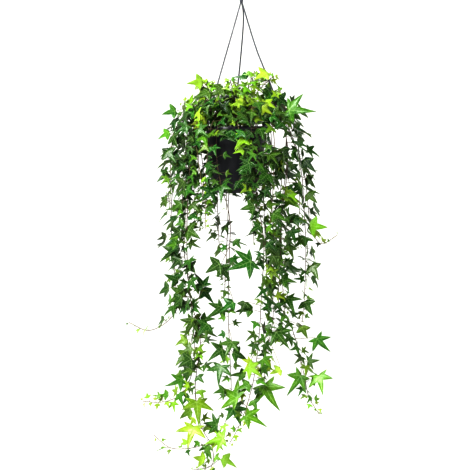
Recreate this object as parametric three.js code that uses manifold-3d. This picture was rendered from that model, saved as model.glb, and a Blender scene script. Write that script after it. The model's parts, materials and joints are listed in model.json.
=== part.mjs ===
// Hanging English ivy: a tapered charcoal plastic pot on a three-legged moulded hanger,
// filled with potting soil, with leafy ivy vines that rise from the soil, arch over the
// rim and trail far below the pot. Millimetres, +Z up, the front of the plant faces -Y.
// The origin is the bearing point inside the hook, where the whole plant hangs.

import * as THREE from 'three';
import { mergeVertices } from 'three/addons/utils/BufferGeometryUtils.js';
import Module from 'manifold-3d';

const wasm = await Module();
wasm.setup();

// Driving dimensions of the pot
const RIM_RADIUS = 75;
const POT_HEIGHT = 157;
const BASE_RADIUS = 47;
const WALL = 1.6;
const SKIRT_HEIGHT = 12; // down-turned band round the rim
const SKIRT_GAP = 3.8; // between the band and the body, where the hanger clips in
const POT_SIDES = 28;
const DRAIN_HOLES = 4;
const DRAIN_RADIUS = 4;
const DRAIN_CIRCLE = 28;
const CLEARANCE = 0.3; // between pieces that touch in the real thing
const SLIVER = 0.02; // edges shorter than this are merged where stems are cut out of the soil

// Driving dimensions of the hanger
const RIM_DROP = 340; // top of the rim below the bearing point of the hook
const HOOK_INNER_RADIUS = 12;
const HOOK_BAR = 4.4;
const HUB_TOP = -34;
const HUB_BOTTOM = -50;
const HUB_RADIUS = 4.6;
const APEX_SHIFT = 14; // the legs meet this far to the right of the pot's axis
const LEG_RADIUS = 1.7;
const LEG_AZIMUTHS = [92, 212, 332];
const CLIP_WIDTH = 7;
const CLIP_THICKNESS = 2.2;
const CLIP_LIP = 6;
const CLIP_TOP = 12; // over the rim, where the legs run into the clips

// Driving dimensions of the soil
const SOIL_SIDES = 20;
const SOIL_BELOW_RIM = 13;
const SOIL_MOUND = 7; // the surface rises this much towards the middle
const SOIL_LUMPS = 1.1;
const STEM_DEPTH = 11; // how deep a stem stands in its hole

// Driving dimensions of the plant
const STEM_RADIUS = 1.4; // to the corners of the three-sided stem
const STEM_SIDES = 3;
const VINE_STEP = 48; // between the nodes of a vine, where its large leaves grow
const SHOOT_STEP = 25;
const VINE_ROOT_RADIUS = [30, 52]; // how far from the pot's axis the vines stand in the soil
const SHOOT_ROOT_RADIUS = [8, 30];
const VINE_CREST = [26, 62]; // height of the vines' arches over the rim
const SEAT_HEIGHT = 3; // of the petiole's foot on its stem
const SEAT_LIFT = 0.5;
const SEAT_FACING = 0.3; // least cosine between a petiole and the side that it grows from
const BLADE_THICKNESS = 0.7;
const BLADE_LENGTH = [27, 52];
const PETIOLE_LENGTH = [13, 30];
const BLADE_DROOP = [0.08, 0.24]; // of the tip, as a share of the length
const BLADE_FOLD = [0.1, 0.3];
const YOUNG_SHARE = 0.6; // size of the leaf nearest the stem's tip
const GROWN_FROM_TIP = 90; // leaves further from the tip are full size
const FIVE_LOBES_FROM = 43; // shorter blades have three lobes
const LEAF_TRIES = 60;
const SEEN_LEAF_TRIES = 900;
const STEM_TRIES = 24;
const LEAF_GAP = 0.35; // least space that a leaf or stem keeps on each side
const JUST_INSIDE = 1e-4; // how deep under a surface the points are that test it
const FACE_SAMPLES = [[1 / 3, 1 / 3, 1 / 3], [0.8, 0.1, 0.1], [0.1, 0.8, 0.1], [0.1, 0.1, 0.8]];
const DOWN = new THREE.Vector3(0, 0, -1);
const TO_FRONT = new THREE.Vector3(0, -1, 0.3).normalize();
const SEEN_LEAF_OUT = 16; // a leaf that is plain to see stands this far in front of its stem
const SEEN_LEAF_SHIFT = 30; // or within so much of there, where there is no room
const SEEN_LEAF_TILT = [0.5, 0.5]; // how much such leaves turn aside and upwards from the front

// Half outlines of the blades: angle from the midrib in degrees, distance from the
// petiole as a share of the blade's length. Tips and notches take turns.
const FIVE_LOBES = [[168, 0.05], [110, 0.46], [84, 0.31], [57, 0.73], [27, 0.34], [0, 1]];
const THREE_LOBES = [[166, 0.06], [66, 0.64], [29, 0.42], [0, 1]];

// Vines whose course is plain to see: the azimuth of their root in the soil, the height
// of their arch over the rim, and the points that they then hang through, measured from
// the middle of the rim's top.
const SEEN_VINES = [
  { name: 'vine_left_long', azimuth: 214, crest: 46, route: [[-96, -64, -24], [-112, -68, -180],
    [-107, -62, -396], [-82, -62, -493], [-92, -66, -584], [-94, -62, -640], [-72, -60, -727],
    [-47, -60, -768], [-52, -60, -792], [-74, -62, -806], [-100, -64, -808]] },
  { name: 'vine_left_branch', azimuth: 196, crest: 50, route: [[-112, -32, -30], [-124, -32, -250],
    [-104, -30, -420], [-98, -30, -560], [-125, -34, -629], [-165, -38, -648], [-217, -44, -647]] },
  { name: 'vine_left_flick', azimuth: 174, crest: 52, route: [[-126, 10, -20], [-152, 14, -200],
    [-143, 10, -360], [-138, 8, -434], [-175, 4, -472], [-206, 2, -483], [-251, -2, -464]] },
  { name: 'vine_low_flick', azimuth: 248, crest: 30, route: [[-44, -86, -25], [-37, -86, -130],
    [-14, -86, -205], [-15, -84, -316], [-17, -82, -430], [-12, -82, -560], [-13, -82, -650],
    [-45, -82, -728], [-95, -82, -749], [-136, -82, -758], [-179, -82, -735], [-191, -82, -722]] },
  { name: 'vine_centre_long', azimuth: 290, crest: 34, route: [[38, -90, -20], [48, -92, -150],
    [66, -88, -270], [61, -86, -387], [55, -86, -493], [44, -86, -583], [34, -86, -628],
    [8, -86, -703], [-14, -86, -742]] },
  { name: 'vine_star', azimuth: 306, crest: 42, route: [[66, -80, -18], [82, -80, -150],
    [90, -76, -300], [88, -74, -396], [87, -72, -460], [72, -72, -530], [59, -70, -594]] },
  { name: 'vine_right_long', azimuth: 326, crest: 48, route: [[116, -60, -14], [122, -60, -90],
    [110, -60, -200], [105, -56, -330], [104, -54, -425], [135, -52, -470], [141, -50, -500],
    [160, -50, -575], [169, -50, -625], [184, -50, -661], [197, -50, -677]] },
  { name: 'vine_right_edge', azimuth: 350, crest: 58, route: [[122, -16, -4], [152, -14, -90],
    [163, -12, -216], [166, -12, -282], [163, -10, -399], [157, -8, -463]] },
  { name: 'vine_right_flick', azimuth: 10, crest: 62, route: [[124, 22, 0], [162, 22, -110],
    [176, 20, -220], [189, 18, -271], [216, 14, -279], [241, 10, -258]] },
  { name: 'vine_inner_right', azimuth: 340, crest: 36, route: [[116, -34, -14], [120, -32, -90],
    [108, -32, -190], [108, -30, -321], [116, -28, -440]] },
];

// Large leaves whose place is plain to see from the front: the stem that bears them, and
// then x and z of the blade's base and of its tip.
const SEEN_LEAVES = [
  ['vine_star', 69, -607, 93, -664], ['vine_star', 95, -480, 126, -517],
  ['vine_centre_long', 4, -634, -45, -611], ['vine_centre_long', -29, -728, -76, -738],
  ['vine_low_flick', -4, -528, 30, -545], ['vine_low_flick', -33, -560, -47, -601],
  ['vine_right_long', 191, -497, 220, -532], ['vine_right_long', 153, -585, 121, -627],
  ['vine_right_long', 196, -585, 206, -625], ['vine_right_edge', 177, -234, 217, -240],
  ['vine_left_long', -91, -645, -84, -694], ['vine_left_long', -98, -705, -116, -749],
  ['vine_left_long', -29, -779, 6, -795], ['vine_left_flick', -134, -406, -136, -438],
  ['shoot_14', 125, 38, 184, 32], ['shoot_15', -141, 35, -173, 30],
  ['vine_left_long', -74, -782, -102, -774], ['vine_left_branch', -127, -595, -163, -615],
  ['vine_left_branch', -97, -558, -129, -573], ['vine_centre_long', 32, -560, 68, -584],
  ['vine_star', 104, -568, 80, -578], ['vine_left_branch', -114, -535, -143, -557],
  ['vine_centre_long', 25, -674, 75, -691], ['vine_right_edge', 179, -329, 197, -357],
  ['vine_inner_right', 126, -281, 133, -311], ['vine_star', 77, -284, 102, -305],
  ['vine_centre_long', 36, -314, -17, -337], ['vine_low_flick', -33, -329, -9, -359],
  ['vine_left_long', -75, -374, -98, -341], ['vine_left_branch', -75, -384, -51, -417],
  ['vine_low_flick', -6, -411, -36, -434], ['vine_centre_long', 22, -411, 13, -440],
  ['vine_inner_right', 122, -404, 138, -436], ['vine_right_edge', 164, -414, 178, -442],
  ['vine_right_long', 156, -470, 167, -499], ['vine_left_long', -66, -462, -90, -483],
  ['vine_left_branch', -99, -456, -125, -492], ['vine_low_flick', -9, -503, -26, -541],
  ['vine_left_flick', -136, -362, -167, -353], ['vine_left_flick', -138, -268, -166, -278],
  ['vine_right_edge', 162, -80, 188, -112], ['vine_right_edge', 170, -160, 193, -182],
  ['vine_inner_right', 128, -146, 110, -175], ['vine_inner_right', 122, -174, 150, -188],
  ['vine_star', 88, -204, 122, -218], ['vine_inner_right', 125, -214, 150, -234],
  ['vine_centre_long', 42, -185, 9, -195], ['vine_low_flick', -33, -138, -30, -174],
  ['vine_centre_long', 8, -128, 31, -160], ['vine_centre_long', 38, -84, 30, -112],
  ['vine_left_flick', -158, -56, -176, -80], ['vine_left_flick', -160, -112, -186, -128],
  ['shoot_14', 100, 66, 134, 46], ['shoot_12', 70, 56, 96, 40], ['shoot_02', -30, 88, -60, 66],
  ['shoot_03', -62, 80, -98, 66], ['shoot_09', -66, 54, -93, 50], ['shoot_18', -72, 14, -104, 3],
  ['shoot_03', -80, 106, -113, 97], ['shoot_13', 72, 124, 43, 111],
];

// Gaps in the foliage that show from the front: least and most x, least and most z, and the
// depth y in front of which no other leaf hangs there.
const GAPS = [
  [[-54, 4], [-134, -22], -40], [[-60, 52], [-13, 1], -40], [[86, 113], [-46, -4], 200],
  [[-42, 30], [-272, -176], 200], [[-6, 56], [-388, -342], 200],
];

// The other vines hang round the rest of the rim: azimuth, how far out they hang and
// how far they trail below the rim.
const RING_VINES = [
  [158, 116, 280], [166, 98, 170], [182, 104, 240], [188, 142, 190], [222, 118, 175],
  [238, 100, 240], [276, 92, 70], [298, 100, 205], [314, 118, 260], [8, 140, 290],
  [18, 124, 370], [40, 104, 190], [46, 100, 420], [74, 98, 280], [90, 104, 410],
  [104, 112, 200], [118, 98, 300], [130, 122, 210], [144, 104, 250],
];

// Short shoots stand up from the middle: azimuth, distance from the axis at the tip, height.
const CROWN_SHOOTS = [
  [335, 50, 126], [250, 34, 114], [196, 88, 98], [150, 62, 92], [100, 46, 84], [50, 70, 88],
  [10, 50, 72], [290, 58, 74], [228, 66, 62], [70, 20, 104], [175, 24, 70], [310, 92, 60],
  [344, 92, 126], [341, 112, 80], [186, 126, 52], [125, 84, 66], [66, 96, 62],
  [215, 104, 44], [30, 96, 70],
];

const toRadians = THREE.MathUtils.degToRad;
const between = ([low, high], share) => THREE.MathUtils.lerp(low, high, share);
const at = (azimuth, radius, z) => new THREE.Vector3(
  Math.cos(toRadians(azimuth)) * radius, Math.sin(toRadians(azimuth)) * radius, z);

// Small seeded generator of numbers from 0 to 1.
function seeded(seed) {
  let state = seed >>> 0;
  return () => {
    state = (state + 0x6d2b79f5) >>> 0;
    let mixed = Math.imul(state ^ (state >>> 15), state | 1);
    mixed ^= mixed + Math.imul(mixed ^ (mixed >>> 7), mixed | 61);
    return ((mixed ^ (mixed >>> 14)) >>> 0) / 4294967296;
  };
}

// Solids in and out of three.js

function solidOf(geometry) {
  const bare = new THREE.BufferGeometry();
  bare.setAttribute('position', geometry.getAttribute('position'));
  if (geometry.index) bare.setIndex(geometry.index);
  const welded = mergeVertices(bare, 1e-4);
  const corners = welded.index.array;
  const kept = [];
  for (let i = 0; i < corners.length; i += 3) {
    const [a, b, c] = corners.slice(i, i + 3);
    if (a !== b && b !== c && c !== a) kept.push(a, b, c);
  }
  return new wasm.Manifold(new wasm.Mesh({
    numProp: 3,
    vertProperties: new Float32Array(welded.attributes.position.array),
    triVerts: new Uint32Array(kept),
  }));
}

function geometryOf(solid) {
  const mesh = solid.getMesh();
  const geometry = new THREE.BufferGeometry();
  geometry.setAttribute('position', new THREE.BufferAttribute(new Float32Array(mesh.vertProperties), 3));
  geometry.setIndex(new THREE.BufferAttribute(new Uint32Array(mesh.triVerts), 1));
  geometry.computeVertexNormals();
  return geometry;
}

function closedGeometry(vertices, triangles) {
  const geometry = new THREE.BufferGeometry().setFromPoints(vertices);
  return geometry.setIndex(triangles.flat());
}

function meshOf(name, solid, material) {
  const mesh = new THREE.Mesh(geometryOf(solid), material);
  mesh.name = name;
  return mesh;
}

const turned = (profile, sides) => new THREE.LatheGeometry(
  profile.map(([radius, z]) => new THREE.Vector2(radius, z)), sides).rotateX(Math.PI / 2);

// The pot: one moulded shell with a down-turned band round its rim

// Outside of the body from the floor up, as radius and height from the rim's top.
const BODY_OUTSIDE = [[BASE_RADIUS, -POT_HEIGHT], [52, -149], [60, -120], [66, -85]];
const NECK_RADIUS = RIM_RADIUS - WALL - SKIRT_GAP;

function makePot() {
  const inside = BODY_OUTSIDE.slice(1).reverse().map(([radius, z]) => [radius - WALL, z]);
  let pot = solidOf(turned([
    [0, -POT_HEIGHT],
    ...BODY_OUTSIDE,
    [NECK_RADIUS, -WALL],
    [RIM_RADIUS - WALL, -WALL],
    [RIM_RADIUS - WALL, -SKIRT_HEIGHT],
    [RIM_RADIUS, -SKIRT_HEIGHT],
    [RIM_RADIUS, 0],
    [NECK_RADIUS - WALL, 0],
    ...inside,
    [BASE_RADIUS - WALL, WALL - POT_HEIGHT],
    [0, WALL - POT_HEIGHT],
  ], POT_SIDES));
  for (let i = 0; i < DRAIN_HOLES; i += 1) {
    const spot = at(45 + (360 / DRAIN_HOLES) * i, DRAIN_CIRCLE, -POT_HEIGHT);
    const hole = new THREE.CylinderGeometry(DRAIN_RADIUS, DRAIN_RADIUS, WALL * 4, 6)
      .rotateX(Math.PI / 2).translate(spot.x, spot.y, spot.z);
    pot = pot.subtract(solidOf(hole));
  }
  return pot;
}

// The soil: fills the pot to just under the rim, with a lumpy mound on top

function soilHeight({ x, y }) {
  const fromMiddle = Math.min(1, Math.hypot(x, y) / RIM_RADIUS);
  const lumps = Math.sin(x * 0.21 + 1.3) * Math.cos(y * 0.19) + 0.6 * Math.sin(x * 0.47 - y * 0.41);
  return -SOIL_BELOW_RIM + SOIL_MOUND * (1 - fromMiddle * fromMiddle) + SOIL_LUMPS * lumps;
}

function makeSoil(stems) {
  const slack = WALL + CLEARANCE + 0.8; // keeps flats with fewer sides inside the pot's wall
  const wall = BODY_OUTSIDE.slice(1).map(([radius, z]) => [radius - slack, z]);
  const floor = WALL + CLEARANCE - POT_HEIGHT;
  const edge = NECK_RADIUS - slack - 0.4;
  const geometry = turned([
    [0, floor],
    [BASE_RADIUS - slack, floor],
    ...wall,
    ...[1, 0.78, 0.52, 0.26, 0].map((share) => [edge * share, -SOIL_BELOW_RIM]),
  ], SOIL_SIDES);
  const position = geometry.getAttribute('position');
  const point = new THREE.Vector3();
  for (let i = 0; i < position.count; i += 1) {
    point.fromBufferAttribute(position, i);
    if (Math.abs(point.z + SOIL_BELOW_RIM) < 1e-4) position.setZ(i, soilHeight(point));
  }
  let soil = solidOf(geometry);
  for (const stem of stems) {
    soil = soil.subtract(stem.solid(false, 1.5 * CLEARANCE).translate([0, 0, -CLEARANCE]));
  }
  return soil.simplify(SLIVER);
}

// The hanger: hook, hub, three legs and their clips, moulded in one. Its parts are placed
// from the middle of the rim's top, like the rest.

function makeHook() {
  const shape = new THREE.Shape();
  shape.absarc(0, -HOOK_INNER_RADIUS, HOOK_INNER_RADIUS + HOOK_BAR, toRadians(-35), toRadians(215), false);
  shape.lineTo(-HOOK_BAR / 2, HUB_TOP + 3);
  shape.lineTo(-HOOK_BAR / 2, HUB_TOP - 2);
  shape.lineTo(HOOK_BAR / 2, HUB_TOP - 2);
  shape.lineTo(HOOK_BAR / 2, HUB_TOP + 5);
  shape.absarc(0, -HOOK_INNER_RADIUS, HOOK_INNER_RADIUS, toRadians(225), toRadians(-35), true);
  const hook = new THREE.ExtrudeGeometry(shape, { depth: HOOK_BAR, bevelEnabled: false, curveSegments: 7 });
  hook.translate(0, 0, -HOOK_BAR / 2).rotateX(Math.PI / 2);
  return solidOf(hook.translate(APEX_SHIFT, 0, RIM_DROP));
}

function makeHub() {
  const hub = new THREE.CylinderGeometry(HUB_RADIUS, HUB_RADIUS * 0.8, HUB_TOP - HUB_BOTTOM, 8);
  return solidOf(hub.rotateX(Math.PI / 2).translate(APEX_SHIFT, 0, RIM_DROP + (HUB_TOP + HUB_BOTTOM) / 2));
}

// The clip's outline in the plane through the pot's axis: it hangs outside the band,
// passes under it and turns up behind it.
function makeClip(azimuth) {
  const outside = RIM_RADIUS + CLEARANCE;
  const behind = (RIM_RADIUS - WALL) * Math.cos(Math.PI / POT_SIDES) - CLEARANCE;
  const under = -SKIRT_HEIGHT - CLEARANCE;
  const clip = new THREE.ExtrudeGeometry(new THREE.Shape([
    [outside, CLIP_TOP], [outside, under], [behind, under], [behind, under + CLIP_LIP],
    [behind - WALL, under + CLIP_LIP], [behind - WALL, under - CLIP_THICKNESS],
    [outside + CLIP_THICKNESS, under - CLIP_THICKNESS], [outside + CLIP_THICKNESS, CLIP_TOP],
  ].map(([x, y]) => new THREE.Vector2(x, y))), { depth: CLIP_WIDTH, bevelEnabled: false });
  clip.translate(0, 0, -CLIP_WIDTH / 2).rotateX(Math.PI / 2).rotateZ(toRadians(azimuth));
  return solidOf(clip);
}

function makeLeg(bends, azimuth) {
  const top = new THREE.Vector3(APEX_SHIFT, 0, RIM_DROP + HUB_BOTTOM + 6);
  const foot = RIM_RADIUS + CLEARANCE + CLIP_THICKNESS / 2;
  const end = [at(azimuth, foot, CLIP_TOP - 1), at(azimuth, foot, CLIP_TOP / 3)];
  const path = new THREE.CatmullRomCurve3([top, ...bends, ...end]);
  const section = new THREE.Shape();
  section.absarc(0, 0, LEG_RADIUS, 0, Math.PI * 2);
  const steps = 4 + 4 * bends.length;
  return solidOf(new THREE.ExtrudeGeometry(section, { steps, extrudePath: path, curveSegments: 3 }));
}

// Points that bend each leg out of the straight, in the order of LEG_AZIMUTHS. The front
// right one bows out round the foliage.
const LEG_BENDS = [
  [new THREE.Vector3(19, 8, 262)],
  [],
  [new THREE.Vector3(50, -14, 179), new THREE.Vector3(75, -24, 116), new THREE.Vector3(94, -32, 60),
    new THREE.Vector3(88, -38, 26)],
];

function makeHanger() {
  let hanger = makeHook().add(makeHub());
  LEG_AZIMUTHS.forEach((azimuth, i) => {
    hanger = hanger.add(makeLeg(LEG_BENDS[i], azimuth)).add(makeClip(azimuth));
  });
  return hanger;
}

// Stems: a three-sided tube along a curve. Its rings are the nodes where leaves grow.

class Stem {
  constructor(name, step, root, points) {
    const ground = soilHeight(root);
    const foot = root.clone().setZ(ground - STEM_DEPTH);
    const curve = new THREE.CatmullRomCurve3([foot, root.clone().setZ(ground + 6), ...points]);
    this.name = name;
    this.length = curve.getLength();
    this.steps = Math.max(3, Math.round(this.length / step));
    this.points = curve.getSpacedPoints(this.steps);
    this.frames = curve.computeFrenetFrames(this.steps);
    this.leaves = new Map();
  }

  corner(ring, side, radius = STEM_RADIUS) {
    const turn = (side * 2 * Math.PI) / STEM_SIDES;
    return this.points[ring].clone()
      .addScaledVector(this.frames.normals[ring], Math.cos(turn) * radius)
      .addScaledVector(this.frames.binormals[ring], Math.sin(turn) * radius);
  }

  // The stem's surface with some leaves on it, grown by a margin for testing.
  surface(leaves, margin = 0) {
    const vertices = [];
    const triangles = [];
    for (let ring = 0; ring <= this.steps; ring += 1) {
      for (let side = 0; side < STEM_SIDES; side += 1) {
        vertices.push(this.corner(ring, side, STEM_RADIUS + 2 * margin));
      }
    }
    for (let ring = 0; ring < this.steps; ring += 1) {
      for (let side = 0; side < STEM_SIDES; side += 1) {
        const a = ring * STEM_SIDES + side;
        const b = ring * STEM_SIDES + ((side + 1) % STEM_SIDES);
        const [farA, farB] = [a + STEM_SIDES, b + STEM_SIDES];
        const leaf = leaves.get(nodeKey(ring, side));
        triangles.push([a, farB, farA]);
        if (leaf) {
          const top = vertices.push(this.seat(ring, side)[2]) - 1;
          const blade = bladeMesh(leaf);
          const moved = (corners) => corners.map((i) => i + vertices.length);
          triangles.push([b, farB, top], [top, farB, a], ...blade.triangles.map(moved),
            ...petioleFaces(moved(blade.ends), turnedBy([a, b, top], leaf.turn)));
          vertices.push(...blade.vertices);
        } else {
          triangles.push([a, b, farB]);
        }
      }
    }
    const last = this.steps * STEM_SIDES;
    triangles.push([0, 2, 1], [last, last + 1, last + 2]);
    return { vertices, triangles };
  }

  // The stem as a solid with its leaves, or bare and grown by a margin for testing.
  solid(leafy, margin = 0) {
    const { vertices, triangles } = this.surface(leafy ? this.leaves : new Map(), margin);
    return solidOf(closedGeometry(vertices, triangles));
  }

  // Whether no part of a leaf passes through another part of it or through the stem: then
  // the surface goes once round every point just inside it.
  isSoundWith(leaf) {
    const { vertices, triangles } = this.surface(new Map([[nodeKey(leaf.ring, leaf.side), leaf]]));
    const bare = (this.steps + 1) * STEM_SIDES;
    return triangles.filter((corners) => corners.some((i) => i >= bare)).every((corners) => {
      const [a, b, c] = corners.map((i) => vertices[i]);
      const inwards = new THREE.Triangle(a, c, b).getNormal(new THREE.Vector3());
      return FACE_SAMPLES.every(([u, v, w]) => {
        const point = new THREE.Vector3().addScaledVector(a, u).addScaledVector(b, v)
          .addScaledVector(c, w).addScaledVector(inwards, JUST_INSIDE);
        return windingsRound(point, vertices, triangles) > 0.5;
      });
    });
  }

  // The corners of a petiole's foot on one side of the stem, just past a ring.
  seat(ring, side) {
    const [a, b] = [this.corner(ring, side), this.corner(ring, side + 1)];
    const far = this.corner(ring + 1, side + 1);
    return [a, b, a.clone().lerp(b, 0.5).lerp(far, SEAT_HEIGHT / a.distanceTo(far))];
  }

  // Seats a leaf on the free side of its node that faces the petiole best.
  seatLeaf(leaf) {
    let best = SEAT_FACING;
    for (let side = 0; side < STEM_SIDES; side += 1) {
      const corners = this.seat(leaf.ring, side);
      const normal = new THREE.Triangle(...corners).getNormal(new THREE.Vector3());
      const faces = normal.dot(leaf.reach);
      if (faces > best && !this.leaves.has(nodeKey(leaf.ring, side))) {
        best = faces;
        leaf.side = side;
        leaf.normal = normal;
        leaf.turn = bestTurn(leaf, corners);
        leaf.seat = turnedBy(corners, leaf.turn);
      }
    }
    return best > SEAT_FACING;
  }
}

const nodeKey = (ring, side) => ring + '/' + side;

// How often a surface goes round a point.
function windingsRound(point, vertices, triangles) {
  const seen = vertices.map((vertex) => vertex.clone().sub(point));
  const far = seen.map((vertex) => vertex.length());
  const cross = new THREE.Vector3();
  return triangles.reduce((sum, [i, j, k]) => {
    const [a, b, c] = [seen[i], seen[j], seen[k]];
    const facing = far[i] * far[j] * far[k] + a.dot(b) * far[k] + b.dot(c) * far[i] + c.dot(a) * far[j];
    return sum + Math.atan2(a.dot(cross.crossVectors(b, c)), facing) / (2 * Math.PI);
  }, 0);
}

const turnedBy = (list, turn) => [...list.slice(turn), ...list.slice(0, turn)];
const middleOf = (points) => points.reduce((sum, p) => sum.add(p), new THREE.Vector3())
  .divideScalar(points.length);

// Which corner of the seat goes with the right of the blade, so that the petiole isn't
// twisted: the others follow as the corner below and the left one.
function bestTurn({ up, tipWay }, corners) {
  const across = new THREE.Vector3().crossVectors(tipWay, up);
  const middle = middleOf(corners);
  const match = (turn) => {
    const [right, low, left] = turnedBy(corners, turn).map((p) => p.clone().sub(middle));
    return right.dot(across) - left.dot(across) - low.dot(up);
  };
  return [0, 1, 2].reduce((best, turn) => (match(turn) > match(best) ? turn : best));
}

// Every vine rises from its hole in the soil, arches and then hangs. Each further try
// shifts it more, so that one that would cross its neighbour is moved clear.
function seenVine({ name, azimuth, crest, route }, attempt) {
  const shift = (attempt % 2 ? 1 : -1) * Math.ceil(attempt / 2);
  const root = at(azimuth + shift * 5, between(VINE_ROOT_RADIUS, 0.64 - (attempt % 3) * 0.27), 0);
  const [x, y] = route[0];
  const over = at(THREE.MathUtils.radToDeg(Math.atan2(y, x)), Math.hypot(x, y) * 0.72, crest + shift * 2);
  const hanging = route.map(([across, back, up]) => new THREE.Vector3(across, back + shift * 3, up));
  return new Stem(name, VINE_STEP, root, [over, ...hanging]);
}

function ringVine([azimuth, reach, drop], number, attempt) {
  const draw = seeded(7000 + number * 131 + attempt);
  const turn = azimuth + (draw() - 0.5) * (6 + attempt);
  const crest = between(VINE_CREST, draw());
  const rootRadius = between(VINE_ROOT_RADIUS, draw());
  const out = reach + (draw() - 0.5) * attempt * 2;
  const swing = (draw() - 0.5) * 34;
  const drift = (draw() - 0.5) * 30;
  const wave = 6 * draw();
  const points = [at(turn, out * 0.7, crest), at(turn, out, crest * 0.3 - 14)];
  const bends = Math.max(1, Math.round(drop / 150));
  for (let i = 1; i <= bends; i += 1) {
    const share = i / bends;
    const away = out + drift * share + 7 * Math.sin(share * 5 + wave);
    points.push(at(turn + (swing * share * 60) / out, away, -drop * share));
  }
  const name = 'vine_' + String(number + 1).padStart(2, '0');
  return new Stem(name, VINE_STEP, at(turn, rootRadius, 0), points);
}

function crownShoot([azimuth, reach, height], number, attempt) {
  const draw = seeded(9000 + number * 97 + attempt);
  const turn = azimuth + (draw() - 0.5) * (6 + attempt * 2);
  const root = at(turn, between(SHOOT_ROOT_RADIUS, draw()), 0);
  const bend = at(turn + 14, reach * 0.55, height * 0.62);
  const tip = at(turn, reach, height * (0.9 + 0.15 * draw()));
  return new Stem('shoot_' + String(number + 1).padStart(2, '0'), SHOOT_STEP, root, [bend, tip]);
}

// Leaves: a folded blade on a petiole that grows from a side of the stem

// One leaf's place at its node. Every try of every leaf has its own seed.
function leafPlace(stem, stemNumber, ring, attempt) {
  const draw = seeded(stemNumber * 10007 + ring * 211 + attempt * 17 + 5);
  const spread = () => draw() * 2 - 1;
  const anyWay = () => new THREE.Vector3(spread(), spread(), spread());
  const root = stem.points[ring];
  const along = stem.points[ring + 1].clone().sub(root).normalize();
  const light = new THREE.Vector3(root.x, root.y, 0).normalize().multiplyScalar(0.75)
    .add(new THREE.Vector3(0, -0.35, 0.62)).normalize();
  const side = new THREE.Vector3().crossVectors(along, light).normalize()
    .multiplyScalar(ring % 2 ? 1 : -1);
  const lean = anyWay();
  const reach = side.clone().multiplyScalar(0.75).addScaledVector(light, 0.55)
    .addScaledVector(along, 0.25).addScaledVector(lean, 0.35).normalize();
  const up = light.clone().addScaledVector(anyWay(), 0.62).normalize();
  const tipWay = side.clone().multiplyScalar(0.45).addScaledVector(DOWN, 0.5)
    .addScaledVector(reach, 0.55).addScaledVector(lean, -0.45).projectOnPlane(up).normalize();
  const toTip = ((stem.steps - 1 - ring) * stem.length) / stem.steps;
  const grown = Math.min(1, between([YOUNG_SHARE, 1], toTip / GROWN_FROM_TIP))
    * (1 - (0.4 * attempt) / LEAF_TRIES);
  const petiole = between(PETIOLE_LENGTH, draw()) * grown;
  return {
    ring,
    reach,
    up,
    tipWay,
    base: root.clone().addScaledVector(reach, petiole),
    length: between(BLADE_LENGTH, draw() ** 1.5) * grown,
    droop: between(BLADE_DROOP, draw()),
    fold: between(BLADE_FOLD, draw()),
  };
}

// Whether a leaf would close one of the gaps.
function closesGap({ base, tipWay, length }) {
  return [0, 0.4, 0.8].some((share) => {
    const { x, y, z } = base.clone().addScaledVector(tipWay, length * share);
    return GAPS.some(([[left, right], [low, high], depth]) => (
      x > left && x < right && z > low && z < high && y < depth));
  });
}

// A leaf with its base and tip given, on a near node of its stem: on the nearest one at first,
// on the next ones in further tries, and with another depth and tilt.
function seenLeaf(stem, [, baseX, baseZ, tipX, tipZ], number, attempt) {
  const away = ({ x, z }) => Math.hypot(x - baseX, z - baseZ);
  const nearest = stem.points.map((point, ring) => ring).slice(1, -1)
    .sort((a, b) => away(stem.points[a]) - away(stem.points[b])).slice(0, 3);
  const ring = nearest[attempt % nearest.length];
  const draw = seeded(5000 + number * 61 + attempt);
  const root = stem.points[ring];
  const out = SEEN_LEAF_OUT + (attempt < nearest.length ? 0 : SEEN_LEAF_SHIFT * (draw() - 0.5));
  const base = new THREE.Vector3(baseX, root.y - out, baseZ);
  const [aside, above] = SEEN_LEAF_TILT.map((tilt) => (draw() - 0.5) * 2 * tilt);
  const up = new THREE.Vector3(aside, 0, above).add(TO_FRONT).normalize();
  const tip = new THREE.Vector3(tipX - baseX, 0, tipZ - baseZ);
  tip.y = -tip.dot(up) / up.y;
  return {
    ring,
    isPlainToSee: true,
    reach: base.clone().sub(root).normalize(),
    up,
    tipWay: tip.clone().normalize(),
    base,
    length: tip.length(),
    droop: between(BLADE_DROOP, draw()),
    fold: between(BLADE_FOLD, draw()),
  };
}

// Points round the blade's edge, counted from the right of the petiole to its left:
// across, towards the tip, and height over the midrib.
function bladeEdge({ length, droop, fold }) {
  const half = length < FIVE_LOBES_FROM ? THREE_LOBES : FIVE_LOBES;
  const point = ([angle, radius], sign) => {
    const across = Math.sin(toRadians(angle)) * radius;
    const forward = Math.cos(toRadians(angle)) * radius;
    return [across * sign * length, forward * length, (fold * across - droop * radius * radius) * length];
  };
  const right = half.map((p) => point(p, 1));
  const left = half.slice(0, -1).reverse().map((p) => point(p, -1));
  return [...right, ...left];
}

// The blade's triangles, alike on both sides of the midrib, where it folds.
function bladeFaces(count) {
  const last = count - 1;
  const tip = last / 2;
  const faces = [[0, tip, last]];
  for (let i = 1; i < tip; i += 2) {
    const inner = Math.min(i + 3, tip);
    faces.push([i - 1, i, i + 1], [0, i + 1, inner]);
    faces.push([last - i - 1, last - i, last - i + 1], [last, last - inner, last - i - 1]);
  }
  return faces.filter(([a, b]) => a !== b);
}

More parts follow.
